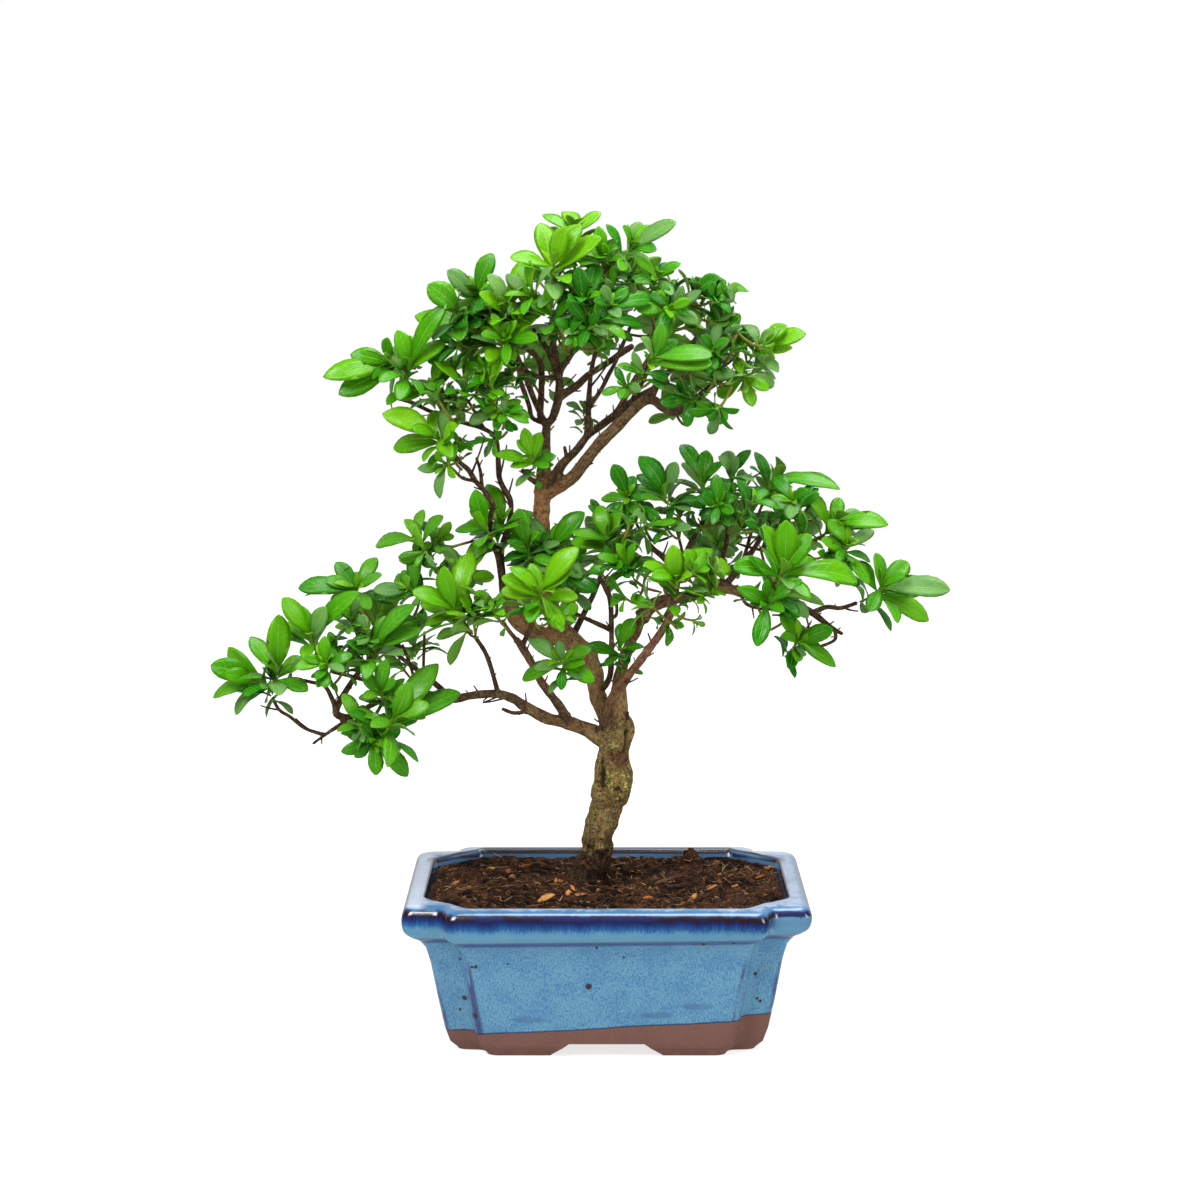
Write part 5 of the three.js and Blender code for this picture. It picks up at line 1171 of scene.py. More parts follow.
def make_boughs(limbs, finish):
    """Trunk and boughs as one skin, with bark ridges along each limb, knobs and the old pruning scar."""
    thick = [name for name, rows in limbs.items() if rows[:, 3].max() >= THICK_LIMB]
    tubes = []
    stations = []
    for number, name in enumerate(thick):
        rows = limbs[name]
        rings, _, start, end = limb_rings(rows, BOUGH_COLUMNS, number, 0.0 if name == "trunk" else 0.3)
        tubes.append(one_tube(rings, start, end))
        places, run, side, other = limb_frames(rows)
        far = far_along(places)
        redness = RED_LIMBS.get(name, 0.0) * smooth_step(8, 34, far)
        lengthwise = far + number * GRAIN_SHIFT
        stations.append(np.column_stack([places, run, side, other, rows[:, 3], lengthwise, redness]))
    stations = np.concatenate(stations)
    points, quads, normals = grown_together(new_mesh("boughs_rough", *gathered(tubes)), BARK_VOXEL, 5)
    near = stations[nearest_stations(points, stations[:, :3])]
    offset = points - near[:, :3]
    lengthwise = near[:, 13] + np.sum(offset * near[:, 3:6], 1)
    grain = np.stack([np.sum(offset * near[:, 6:9], 1), np.sum(offset * near[:, 9:12], 1), lengthwise], 1)
    radius = near[:, 12]
    weight = np.clip(radius / 8, 0.12, 1)
    trunk = stations[:len(limbs["trunk"])]
    owner = trunk[nearest_stations(points, trunk[:, :3])]
    clearance = np.linalg.norm(points - owner[:, :3], axis=1) - owner[:, 12]
    inside = smooth_step(5, 1.5, clearance - 4.5 * smooth_step(150, 142, points[:, 2]))
    inside = inside * smooth_step(0, 22, trunk[-1, 13] - owner[:, 13])
    ridge = noise(grain * [1, 1, 0.3], 2.1, 1) + 0.6 * noise(grain * [1, 1, 0.4], 1.1, 2)
    knobs = noise(points, 8.5, 3) + 0.6 * noise(points, 4.0, 4) + 0.7 * noise(points, 2.2, 5)
    height = 0.45 * weight * ridge + 0.52 * weight ** 1.5 * knobs
    waist = np.exp(-((points[:, 2] - WAIST["z"]) / WAIST["reach"]) ** 2)
    waist = waist * smooth_step(-0.2, 0.7, normals[:, 0])
    tuck = smooth_step(104, 94, points[:, 2]) * smooth_step(0, 0.8, normals[:, 0])
    height = height - inside * (WAIST["depth"] * waist + FOOT_TUCK * tuck)
    front = smooth_step(0, 0.6, -normals[:, 1])

    def mark(spot, wide, high):
        """How far each point is from a mark, with 1 at the edge of its oval."""
        return np.hypot((points[:, 0] - spot["x"]) / wide, (points[:, 2] - spot["z"]) / high)

    scar = mark(SCAR, 5.6, 7.6) + 0.5 * noise(points, 2.6, 8)
    rim = front * np.exp(-((scar - 0.8) / 0.26) ** 2)
    hollow = front * (1 - smooth_step(0.1, 0.5, mark(SCAR, 5.6, 7.6) + 0.25 * noise(points, 1.5, 8)))
    knob = front * np.exp(-mark(KNOB, 4.5, 3.8) ** 2)
    above = (points[:, 2] - BARE["lip_z"] + BARE["lip_fall"] * points[:, 0]) / BARE["lip_slant"]
    above = above + 0.4 * noise(points, 2, 9)
    patch = front * (1 - smooth_step(0.85, 1.15, mark(BARE, 7, 5) + 0.2 * noise(points, 2, 9)))
    bare = patch * smooth_step(0, 0.8, above)
    lip = patch * np.exp(-(above / 0.4) ** 2) * smooth_step(-0.3, 0.5, noise(points, 2.2, 11))
    groove = front * (1 - smooth_step(0.2, 1.1, mark(CLEFT, 2.1, 11) + 0.4 * noise(points, 2.5, 10)))
    height = height + rim * (0.8 + 1.5 * noise(points, 1.6, 6)) + 1.2 * knob + 0.9 * lip
    crevice = front * (1 - smooth_step(0.2, 1.1, mark(CREVICE, 1.5, 10) + 0.3 * noise(points, 2.5, 12)))
    height = height - 1.3 * hollow - 1.2 * bare - 1.5 * groove - 1.6 * crevice
    piece = new_mesh("trunk_and_boughs", points + normals * height[:, None], quads)
    thick_here = np.maximum(radius, owner[:, 12] * inside)
    redness = np.maximum(near[:, 14] * (1 - inside), bare) + 2 * lip
    # Positive where lichen crust lies on the scar's rim and the knob. Negative in the scar's hollow, the
    # cleft and the crevice, where the bark finish paints shade.
    crust_and_hollow_shade = np.clip(rim + 0.35 * knob, 0, 1) * (1 - hollow) * (1 - bare) - groove - hollow - crevice
    set_layer(piece, "grain", grain)
    set_layer(piece, "limb", np.stack([thick_here / 10, redness, crust_and_hollow_shade], 1))
    finish_piece(piece, [finish], ["trunk_and_branches"])


def spurs_of(rows, number):
    """Short spurs and a few thin side twigs of a limb, about every 5 mm: tubes that lean away from it and
    bend upwards by a square. Gives tubes, their grain and what their points store."""
    places, run, side, other = limb_frames(rows)
    at = np.arange(3, len(rows) - 2, 4)
    at = at[scatter(at, number, 60) > 0.25]
    turn = scatter(at, number, 61)[:, None] * 2 * math.pi
    heading = side[at] * np.cos(turn) + other[at] * np.sin(turn)
    heading = unit(heading + run[at] * 0.6 + np.array([0, 0, 0.3]))
    chance = scatter(at, number, 62)
    length = np.where(chance > SPUR_SHARE, 7 + 10 * scatter(at, number, 63), 1.5 + 3 * chance) + rows[at, 3]
    share = np.linspace(0, 1, 4)
    reach = length[:, None] * share
    sway = 0.16 * (scatter(at, number, 64) - 0.5)[:, None] * length[:, None] * np.sin(share * 5)
    line = (places[at][:, None] + heading[:, None] * reach[..., None] + side[at][:, None] * sway[..., None]
            + np.array([0, 0, 0.14]) * (reach * share)[..., None])
    radius = np.minimum(0.4 + 0.25 * chance, rows[at, 3] * 0.7)[:, None] * (1 - 0.4 * share)
    ring = round_about(*both_across(heading, np.array([0.3, 0.9, 0.2])), 5)
    rings = line[:, :, None] + ring[:, None] * radius[..., None, None]
    tubes = closed_tubes(rings, line[:, 0], line[:, -1] + heading * 0.2)
    stored = np.stack([radius.mean(1) / 10, np.full_like(length, PLAIN_REDNESS), np.zeros_like(length)], 1)
    return tubes, tubes[0] + number * GRAIN_SHIFT, per_point(stored, rings)


def make_twigs(limbs, finish):
    """The thin branches and twigs as round tubes, with spurs and side twigs along them and the boughs."""
    tubes = []
    grains = []
    about = []
    for number, (name, rows) in enumerate(limbs.items()):
        if name not in ("trunk", *(root[0] for root in ROOTS)) and len(rows) > 8:
            spurs, grain, stored = spurs_of(rows, number)
            tubes.append(spurs)
            grains.append(grain)
            about.append(stored)
        if rows[:, 3].max() >= THICK_LIMB:
            continue
        rings, grain, start, end = limb_rings(rows, TWIG_COLUMNS, number, 0.25)
        tubes.append(one_tube(rings, start, end))
        poles = np.stack([grain[0].mean(0), grain[-1].mean(0)])
        grains.append(np.concatenate([grain.reshape(-1, 3), poles]))
        radius = np.concatenate([np.repeat(rows[:, 3], TWIG_COLUMNS), [rows[0, 3], rows[-1, 3]]])
        redness = RED_LIMBS.get(name, PLAIN_REDNESS)
        about.append(np.stack([radius / 10, np.full(len(radius), redness), np.zeros(len(radius))], 1))
    piece = new_mesh("twigs", *gathered(tubes))
    set_layer(piece, "grain", np.concatenate(grains))
    set_layer(piece, "limb", np.concatenate(about))
    finish_piece(piece, [finish], ["trunk_and_branches"])


def make_bark_finish():
    """Bark: olive brown on the trunk, browner on the boughs and dark on thin wood, with flaky patches,
    lichen, moss and dark cracks, drawn out along the limb."""
    finish = Finish("azalea_bark")
    stored = finish.node("ShaderNodeAttribute", {"attribute_name": "grain"}, output="Vector")
    long = finish.stretched(stored, 1.0, 1.0, 0.4)
    thick, redness, scar = finish.layer("limb")
    place = finish.place()
    up = finish.parts(place)[2]
    cracks = finish.speckle(long, 0.9, 6.0, 0.75)
    fine = finish.speckle(long, 2.6, 4.0, 0.65)
    flecks = finish.speckle(place, 1100.0, 4.0, 0.75)
    flakes = finish.speckle(place, 560.0, 6.0, 0.75)
    blotches = finish.speckle(place, 170.0, 5.0, 0.65)
    moss = finish.speckle(place, 300.0, 6.0, 0.7)
    warmth = finish.speckle(place, 230.0, 3.0, 0.6)
    old = thick.step(0.16, 0.5)
    oldest = thick.step(0.42, 0.82)
    thin_shade = finish.mix(redness, (60, 42, 32), (122, 82, 60))
    old_shade = finish.mix(oldest, (160, 120, 78), (126, 104, 58))
    old_shade = finish.mix(redness * 0.9, old_shade, (96, 52, 36))
    bared = up.step(0.2, 0.25) * thick.step(0.28, 0.36)
    old_shade = finish.mix(bared * 0.7, old_shade, (206, 138, 92))
    shade = finish.mix(old.most(bared * 0.9), thin_shade, old_shade)
    shade = finish.coated(shade, [
        (blotches.step(0.5, 0.6) * (0.2 + old * 0.45), (164, 144, 96)),
        (moss.step(0.52, 0.62) * oldest * 0.75, (90, 98, 30)),
        (blotches.step(0.46, 0.38) * oldest * 0.45, (78, 62, 38)),
        (warmth.step(0.58, 0.66) * oldest * 0.6, (168, 112, 70)),
    ])
    worn = 0.3 + oldest * blotches.step(0.42, 0.56) * 0.7
    shade = finish.coated(shade, [
        (flakes.step(0.48, 0.42) * worn, (54, 40, 22)),
        (flakes.step(0.54, 0.6) * worn * 0.8, (172, 148, 98)),
        (cracks.step(0.5, 0.4) * 0.75, (48, 34, 22)),
        (fine.step(0.58, 0.66) * 0.55, (184, 158, 112)),
        (flecks.step(0.55, 0.62) * oldest * 0.45, (182, 156, 104)),
        (flecks.step(0.46, 0.36) * 0.7, (36, 26, 18)),
    ])
    peeled = redness.step(0.35, 0.8) * oldest
    torn = finish.mix(flakes.step(0.46, 0.56), (50, 32, 22), (124, 84, 56))
    shade = finish.mix(peeled * 0.7, shade, torn)
    crusty = scar.step(0.12, 0.6)
    shade = finish.coated(shade, [
        (crusty * 0.6, (128, 120, 56)),
        # The crust's own lichen colours. Its light flakes are partly a painted highlight, and its dark gaps
        # are partly painted shade.
        (crusty * flakes.step(0.51, 0.56) * 0.85, (192, 182, 104)),
        (crusty * flecks.step(0.5, 0.44) * 0.9, (40, 34, 14)),
        # Painted shade in the scar's hollow, the cleft and the crevice.
        (scar.step(-0.05, -0.9) * 0.9, (32, 25, 14)),
        (redness.step(1.1, 2.2) * 0.7, (186, 140, 102)),
    ])
    edge = up + (blotches - 0.5) * 0.035
    # Darker towards the trunk's foot at the soil, going nearly black.
    low_darkening = edge.step(0.1, 0.087)
    low_dark_tone = finish.mix(flakes.step(0.44, 0.58), (10, 7, 5), (62, 44, 28))
    shade = finish.mix(low_darkening * 0.95, shade, low_dark_tone)
    rust = edge.step(0.104, 0.098) * up.step(0.08, 0.088) * flakes.step(0.56, 0.6)
    shade = finish.mix(rust * 0.75, shade, (140, 76, 34))
    height = cracks * 0.4 + fine * 0.2 + flecks * 0.15 + flakes * 0.35
    return finish.surface(base_color=shade, roughness=0.8 + fine * 0.2, specular=0.16,
                          normal=finish.bump(height, 0.003, 1.0))


# The pot

def plan_rings(rows):
    """Rings of a rectangle with notched corners. Each of the three corners of a quarter is rounded by a
    curve from one rounding before it to one after it, drawn towards it (a quadratic Bezier curve)."""
    height, length, width, notch_length, notch_width, bite, rounding = rows.T[:, :, None]
    flat = np.zeros_like(length)
    side_middle = np.concatenate([length, flat], 1)
    side_end = np.concatenate([length, width - notch_width], 1)
    corner = np.concatenate([length - notch_length * bite, width - notch_width * bite], 1)
    panel_end = np.concatenate([length - notch_length, width], 1)
    panel_middle = np.concatenate([flat, width], 1)
    stops = [side_middle, side_end, corner, panel_end, panel_middle]
    quarter = []
    share = np.linspace(0, 1, 7)[None, :, None]
    for before, at, after in zip(stops, stops[1:], stops[2:]):
        came = at - unit(at - before) * rounding
        goes = at + unit(after - at) * rounding
        quarter.append(came[:, None] * (1 - share) ** 2 + at[:, None] * 2 * share * (1 - share)
                       + goes[:, None] * share ** 2)
    side = side_middle[:, None] * (1 - share) + quarter[0][:, :1] * share
    panel = quarter[2][:, -1:] * (1 - share) + panel_middle[:, None] * share
    whole = np.concatenate([side[:, :-1], *quarter, panel[:, 1:]], 1)
    back = whole[:, ::-1]
    around = np.concatenate([whole[:, :-1], (back * [-1, 1])[:, :-1], (whole * [-1, -1])[:, :-1],
                             (back * [1, -1])[:, :-1]], 1)
    return np.concatenate([around, np.broadcast_to(height[:, None], around[..., :1].shape)], -1)


def between(rows, steps):
    """Rows with steps new rows on the straight line between each two."""
    places = np.linspace(0, len(rows) - 1, (len(rows) - 1) * steps + 1)
    return np.stack([np.interp(places, np.arange(len(rows)), column) for column in rows.T], 1)


def pot_rows():
    """The pot's section from the recess under it, over the foot, wall and rim, and down inside."""
    outer = np.column_stack([OUTER_PROFILE, np.full(14, OUTER_BITE), np.full(14, OUTER_ROUNDING)])
    inner = np.column_stack([INNER_PROFILE, np.full(4, INNER_BITE), np.full(4, INNER_ROUNDING)])
    foot = outer[0]
    ring = foot - [0, FOOT_RING_WIDTH, FOOT_RING_WIDTH, 0, 0, OUTER_BITE - INNER_BITE, 2]
    recess = np.stack([ring + [RECESS_HEIGHT, 0, 0, 0, 0, 0, 0], ring + [0.8, 0, 0, 0, 0, 0, 0],
                       ring + [0, 0.8, 0.8, 0, 0, 0, 0]])
    low = np.stack([foot + [0, -0.9, -0.9, 0, 0, 0, 0], foot + [0.25, -0.3, -0.3, 0, 0, 0, 0],
                    foot + [0.9, 0, 0, 0, 0, 0, 0]])
    wall = np.vstack([between(outer[1:4], 3)[:-1], between(outer[3:5], 12)[:-1],
                      between(outer[4:6], 4)[:-1]])
    rim = spline(np.vstack([outer[5:], inner[:2]]), 5)
    return np.vstack([recess, low, wall, rim, between(inner[1:3], 5)[1:], between(inner[2:], 8)[1:]])


def cut_away(piece, cutter):
    """Takes a closed shape out of a piece."""
    cut = piece.modifiers.new("cut", "BOOLEAN")
    cut.operation = "DIFFERENCE"
    cut.solver = "EXACT"
    cut.object = cutter
    shape = piece.evaluated_get(bpy.context.evaluated_depsgraph_get())
    result = bpy.data.meshes.new_from_object(shape)
    piece.modifiers.clear()
    old = piece.data
    piece.data = result
    bpy.data.meshes.remove(old)
    bpy.data.objects.remove(cutter)


def arch_cutter(widths, turned):
    """A long prism of trapezoid section, wide at the ground."""
    top, bottom = widths
    slope = (bottom - top) / 2 / FOOT_ARCH_HEIGHT
    low = bottom / 2 + slope
    section = np.array([[-low, -1], [low, -1], [top / 2, FOOT_ARCH_HEIGHT], [-top / 2, FOOT_ARCH_HEIGHT]])
    near = np.column_stack([section[:, 0], np.full(4, -CUTTER_REACH), section[:, 1]])
    points = np.concatenate([near, near * [1, -1, 1]])
    if turned:
        points = np.column_stack([-points[:, 1], points[:, 0], points[:, 2]])
    faces = np.array([[0, 1, 2, 3], [7, 6, 5, 4], [0, 4, 5, 1], [1, 5, 6, 2], [2, 6, 7, 3], [3, 7, 4, 0]])
    return new_mesh("arch_cutter", points, faces)


def drill(x):
    """A round rod through the floor of the pot."""
    angle = circle(32)
    ring = np.column_stack([x + DRAIN_HOLE_RADIUS * np.cos(angle), DRAIN_HOLE_RADIUS * np.sin(angle)])
    rings = np.stack([np.column_stack([ring, np.full(len(ring), height)]) for height in DRILL_SPAN])
    poles = [np.array([x, 0, height]) for height in DRILL_SPAN]
    return new_mesh("drill", *one_tube(rings, *poles))


def make_pot(finish):
    """The pot as one closed shell: its section carried round the notched plan, with arches between the
    feet and drain holes cut out. The rim's underside rises a little to the right."""
    rows = pot_rows()
    rings = plan_rings(rows)
    outside = rings[:rows[:, 0].argmax()]
    height = outside[..., 2]
    lift = (RIM_LIFT + outside[..., 0] * RIM_LIFT_TO_RIGHT) * smooth_step(26, 50, height)
    outside[..., 2] = height + lift * smooth_step(75, 66, height)
    poles = [np.array([0, 0, height]) for height in (rows[0, 0], rows[-1, 0])]
    piece = new_mesh("glazed_pot", *one_tube(rings, *poles))
    cut_away(piece, arch_cutter(FRONT_ARCH, False))
    cut_away(piece, arch_cutter(SIDE_ARCH, True))
    cut_away(piece, drill(-DRAIN_HOLE_ACROSS))
    cut_away(piece, drill(DRAIN_HOLE_ACROSS))
    piece.data.shade_smooth()
    finish_piece(piece, [finish], ["pot"], corners=CREASE_DEGREES)


def make_pot_finish():
    """Blue glaze over red clay: pale blue panels with a dark band that runs down in streaks below the rim,
    purple where it thickens in the corners, brown pinholes, and a bare foot below a tilted glaze line."""
    finish = Finish("blue_glaze")
    place = finish.stretched(finish.place(), 1000.0, 1000.0, 1000.0)
    place = finish.node("ShaderNodeVectorMath", {"operation": "SUBTRACT"}, {
        0: place, 1: (float(POT_MIDDLE[0]) * 1000, float(POT_MIDDLE[1]) * 1000, 0.0)})
    x, y, z = finish.parts(place)
    mottle = finish.speckle(finish.stretched(place, 1.0, 1.0, 0.32), 2.1, 4.0, 0.7)
    clouds = finish.speckle(place, 0.09, 4.0, 0.6)
    broad = finish.speckle(place, 0.03, 2.0)
    grains = finish.speckle(place, 1.6, 2.0, 0.6)
    drips = finish.speckle(finish.stretched(place, 1.0, 1.0, 0.09), 1.5, 4.0, 0.75)
    runs = finish.speckle(finish.stretched(place, 1.0, 1.0, 0.12), 0.16, 3.0, 0.6)
    dark_share = clouds.step(0.4, 0.62) * 0.05
    body = finish.mix((mottle - dark_share).step(0.38, 0.52), (56, 100, 140), (88, 134, 158))
    body = finish.coated(body, [
        (clouds.step(0.45, 0.7) * 0.3, (68, 116, 152)),
        (drips.step(0.6, 0.68) * 0.25, (50, 76, 124)),
    ])
    to_right = x.step(10.0, 95.0)
    level = z + (drips - 0.5) * 7.0 * z.step(75.0, 70.0) + (runs - 0.5) * 3.0 + to_right * 0.45
    band = finish.ramp((level - 60.0) / 18.0, (0.06, (92, 138, 158)), (0.36, (76, 124, 152)),
                       (0.48, (24, 78, 126)), (0.59, (12, 42, 96)), (0.7, (14, 16, 54)),
                       (0.77, (26, 8, 12)), (0.815, (36, 10, 8)), (0.85, (20, 44, 84)),
                       (0.9, (48, 94, 134)), (0.96, (64, 106, 144)), (1.0, (128, 148, 176)))
    calm = x.step(78.0, 84.0) * (z + to_right * 0.45).step(73.6, 72.6)
    band = finish.mix(calm * 0.75, band, (84, 128, 154))
    thin = finish.speckle(finish.stretched(place, 1.0, 1.0, 0.0), 0.035, 3.0).step(0.56, 0.46)
    edge = abs(level - 74.2).step(1.6, 0.9)
    band = finish.mix(edge * thin * 0.8, band, (18, 26, 76))
    shade = finish.mix(z.step(60.0, 62.5), body, band)
    lift = x * RIM_LIFT_TO_RIGHT + RIM_LIFT
    groove = abs(z - 57.9 - lift + (drips - 0.5) * 1.5).step(2.0, 0.6)
    shade = finish.mix(groove * mottle.step(0.34, 0.52) * 0.85, shade, (50, 48, 98))
    corner = abs(abs(x) - (z * PANEL_EDGE[1] + PANEL_EDGE[0])).step(2.6, 0.8)
    side_corner = abs(abs(y) - (z * SIDE_EDGE[1] + SIDE_EDGE[0])).step(4.0, 1.2)
    side_corner = side_corner * (z * END_WALL[1] + END_WALL[0] - abs(x)).step(3.4, 1.4)
    low_wall = z.step(52.0, 44.0)
    purple = corner.most(side_corner) * low_wall * (runs + (mottle - 0.5) * 0.3).step(0.38, 0.5)
    for across, height in GLAZE_SMUDGES:
        smudge = finish.near(finish.stretched(place, 0.2, 0.0, 1.0), (across * 0.2, 0.0, float(height)), 2.0)
        purple = purple.most(smudge * y.step(-40.0, -50.0) * mottle.step(0.42, 0.6) * 0.7)
    shade = finish.mix(purple * 0.75, shade, finish.mix(drips, (30, 36, 92), (66, 54, 96)))
    shade = finish.mix(purple * grains.step(0.56, 0.66) * 0.8, shade, (46, 32, 36))
    on_top = z.step(75.6, 76.8)
    # Painted reflection of the white background on the rim's top: strongest at the left end, faint at the
    # right end, and along the far side.
    painted_sheen = x.step(-86.0, -93.0).most(x.step(86.0, 93.0) * 0.18) * on_top
    painted_sheen = painted_sheen.most(y.step(50.0, 62.0) * on_top * 0.9)
    shade = finish.mix(painted_sheen * 0.75, shade, (178, 190, 208))
    past = (abs(x) - z * INNER_END[1] - INNER_END[0]).most(abs(y) - z * INNER_FRONT[1] - INNER_FRONT[0])
    past = past.most(abs(x) + abs(y) - z * INNER_CORNER[1] - INNER_CORNER[0])
    far_edge = past.step(3.6, 2.0) * on_top * y.step(30.0, 50.0)
    shade = finish.mix(far_edge * 0.85, shade, (44, 38, 46))
    inside = past.step(0.4, 0.0) * z.step(11.0, 12.0)
    inner = finish.mix(mottle, (34, 70, 110), (84, 122, 156))
    shade = finish.coated(shade, [
        (inside, inner),
        (inside * z.step(74.4, 75.4) * 0.92, (36, 22, 24)),
    ])
    clay = finish.mix(mottle.step(0.3, 0.7), (94, 62, 54), (108, 72, 62))
    clay = finish.coated(clay, [
        (clouds.step(0.5, 0.7) * 0.35, (88, 60, 56)),
        (runs.step(0.5, 0.62) * z.step(5.0, 0.0) * 0.5, (132, 84, 52)),
        (grains.step(0.62, 0.72) * 0.35, (64, 40, 36)),
    ])
    over = z - (x * GLAZE_LINE["tilt"] + GLAZE_LINE["height"] + (broad - 0.5) * 1.6 + (clouds - 0.5) * 0.8)
    glazed = over.step(-0.15, 0.25)
    shade = finish.mix(over.step(1.1, 0.3) * 0.85, shade, (30, 34, 72))
    flat = finish.stretched(place, 1.0, 0.0, 1.0)
    spots = 0.0
    for across, height, radius in PINHOLES:
        spots = finish.near(flat, (across, 0.0, float(height)), radius * 1.35) + spots
    spots = spots * y.step(-40.0, -50.0)
    shade = finish.mix(spots * 0.95, shade, (52, 40, 42))
    shade = finish.mix(glazed, clay, shade)
    height = mottle * 0.12 * glazed + grains * 0.12 + glazed * 1.2 - spots * 0.6 + clouds * 0.5
    rough = 0.88 - glazed * (0.72 - mottle * 0.08) + grains * 0.04
    return finish.surface(base_color=shade, roughness=rough, normal=finish.bump(height, 0.0004, 0.5),
                          coat_weight=glazed * 0.55, coat_roughness=0.05)


# The soil

def cavity_row(height, gap):
    """The pot's inside at a height, drawn in by a gap, as a row of its section."""
    ordered = INNER_PROFILE[::-1]
    row = [np.interp(height, ordered[:, 0], column) for column in ordered.T]
    return np.array([height, row[1] - gap, row[2] - gap, row[3], row[4], INNER_BITE, INNER_ROUNDING])


def soil_relief(x, y):
    """Clumps of peat in four sizes. Noise that is folded at zero gives round lumps with clefts between, and
    sharp crests where it is taken away."""
    lumps = np.abs(flat_noise(x, y, 6.0, 12)) * 2.0 + 1.1 * flat_noise(x, y, 17, 11)
    clefts = np.abs(flat_noise(x, y, 3.6, 13)) * 1.8
    return lumps - clefts - np.abs(flat_noise(x, y, 2.1, 14)) * 1.4 + 1.4


def soil_clods(x, y):
    """Clods that stand higher than the rest, as bell curves with a torn surface."""
    torn = 1 + 0.35 * flat_noise(x, y, 2.4, 15)
    height = np.zeros_like(x)
    for across, deep, rise, reach in SOIL_CLODS:
        height = height + rise * torn * np.exp(-((x - across) ** 2 + (y - deep) ** 2) / reach ** 2)
    return height


def soil_banks(x, y):
    """How far the soil rises towards the pot's two ends, more at the left and less towards the back."""
    rise = 2.4 * smooth_step(50, 84, -x) + 1.2 * smooth_step(60, 84, x)
    return rise * smooth_step(45, 0, y)


def soil_height(x, y):
    """The soil's height: a gentle fall to the back, a mound at the trunk, clods, and the peat's clumps."""
    far = np.hypot(x - SOIL_MOUND["x"], y - SOIL_MOUND["y"]) / SOIL_MOUND["reach"]
    height = SOIL_TOP - y * SOIL_FALL_TO_BACK + SOIL_MOUND["height"] * np.exp(-far ** 2)
    return height + soil_banks(x, y) + soil_clods(x, y) + soil_relief(x, y) - 1.3


def on_soil(right, down):
    """The place on the soil that the photograph shows at a pixel: where the ray meets the soil's height."""
    across = (right - PHOTO_ORIGIN[0]) / PIXELS_TO_MILLIMETRE
    up = (PHOTO_ORIGIN[1] - down) / PIXELS_TO_MILLIMETRE
    ends = seen(np.full(2, across), np.full(2, up), np.array([-70.0, 70.0]))
    share = (SOIL_TOP - ends[0, 2]) / (ends[1, 2] - ends[0, 2])
    place = ends[0] + (ends[1] - ends[0]) * np.clip(share, 0, 1)
    place[2] = soil_height(place[0], place[1])
    return place


def evenly_round(ring, count):
    """A closed ring as a number of points evenly along it."""
    closed = np.vstack([ring, ring[:1]])
    far = far_along(closed)
    places = np.arange(count) / count * far[-1]
    return np.stack([np.interp(places, far, column) for column in closed.T], 1)


def make_soil(finish):
    """The soil's top as rings that shrink to the middle, over straight sides and a flat underside."""
    edge_top = SOIL_TOP - SOIL_EDGE_DROP
    levels = [cavity_row(height, SOIL_GAP) for height in (SOIL_BOTTOM, 40, 64, edge_top)]
    *low, edge = [evenly_round(ring, SOIL_COLUMNS) for ring in plan_rings(np.stack(levels))]
    scales = np.linspace(1, 0.012, SOIL_RINGS)[:, None]
    x, y = edge[None, :, 0] * scales, edge[None, :, 1] * scales
    inward = smooth_step(1.0, 0.965, scales)
    rough_edge = edge_top - 0.9 + 0.9 * flat_noise(x, y, 5, 3)
    height = soil_height(x, y) * inward + (rough_edge + soil_banks(x, y)) * (1 - inward)
    trunk = np.hypot(x - TRUNK_FOOT[0], y - TRUNK_FOOT[1])
    height = height - TRUNK_HOLE_DEPTH * (1 - smooth_step(*TRUNK_HOLE_EDGE, trunk))
    top = np.stack([x, y, height], -1)
    rings = np.concatenate([np.stack(low), top])
    points, quads, ends = one_tube(rings, np.array([0, 0, SOIL_BOTTOM]), top[-1].mean(0))
    piece = new_mesh("peat_soil", points, quads, ends)
    # The stored relief, with part of the clods' height, sets the soil's painted shade and light.
    relief = soil_relief(points[:, 0], points[:, 1]) + 0.35 * soil_clods(points[:, 0], points[:, 1])
    set_layer(piece, "relief", np.column_stack([relief, np.zeros((len(relief), 2))]))
    finish_piece(piece, [finish], ["soil"])


def spread_over_soil(count, seed):
    """Places scattered over the soil, clear of the trunk and of the pot's wall."""
    numbers = np.arange(count * 2)
    x = (scatter(numbers, seed) * 2 - 1) * SOIL_SPREAD[0]
    y = (scatter(numbers, seed + 1) * 2 - 1) * SOIL_SPREAD[1]
    off_trunk = np.hypot(x - TRUNK_FOOT[0], y - TRUNK_FOOT[1]) > 12
    in_notches = np.abs(x) / 100 + np.abs(y) / 82 < 1.35
    clear = off_trunk & in_notches
    x, y = x[clear][:count], y[clear][:count]
    return np.stack([x, y, soil_height(x, y)], 1)


def lay_bits(name, rings, start, end, tone, fibrous, finish):
    """Many small closed tubes as one loose piece on the soil. Each stores its tone, and whether it is a
    fibre."""
    piece = new_mesh(name, *closed_tubes(rings, start, end))
    stored = np.column_stack([tone, np.full((len(tone), 2), float(fibrous))])
    set_layer(piece, "bit", per_point(stored, rings))
    finish_piece(piece, [finish])


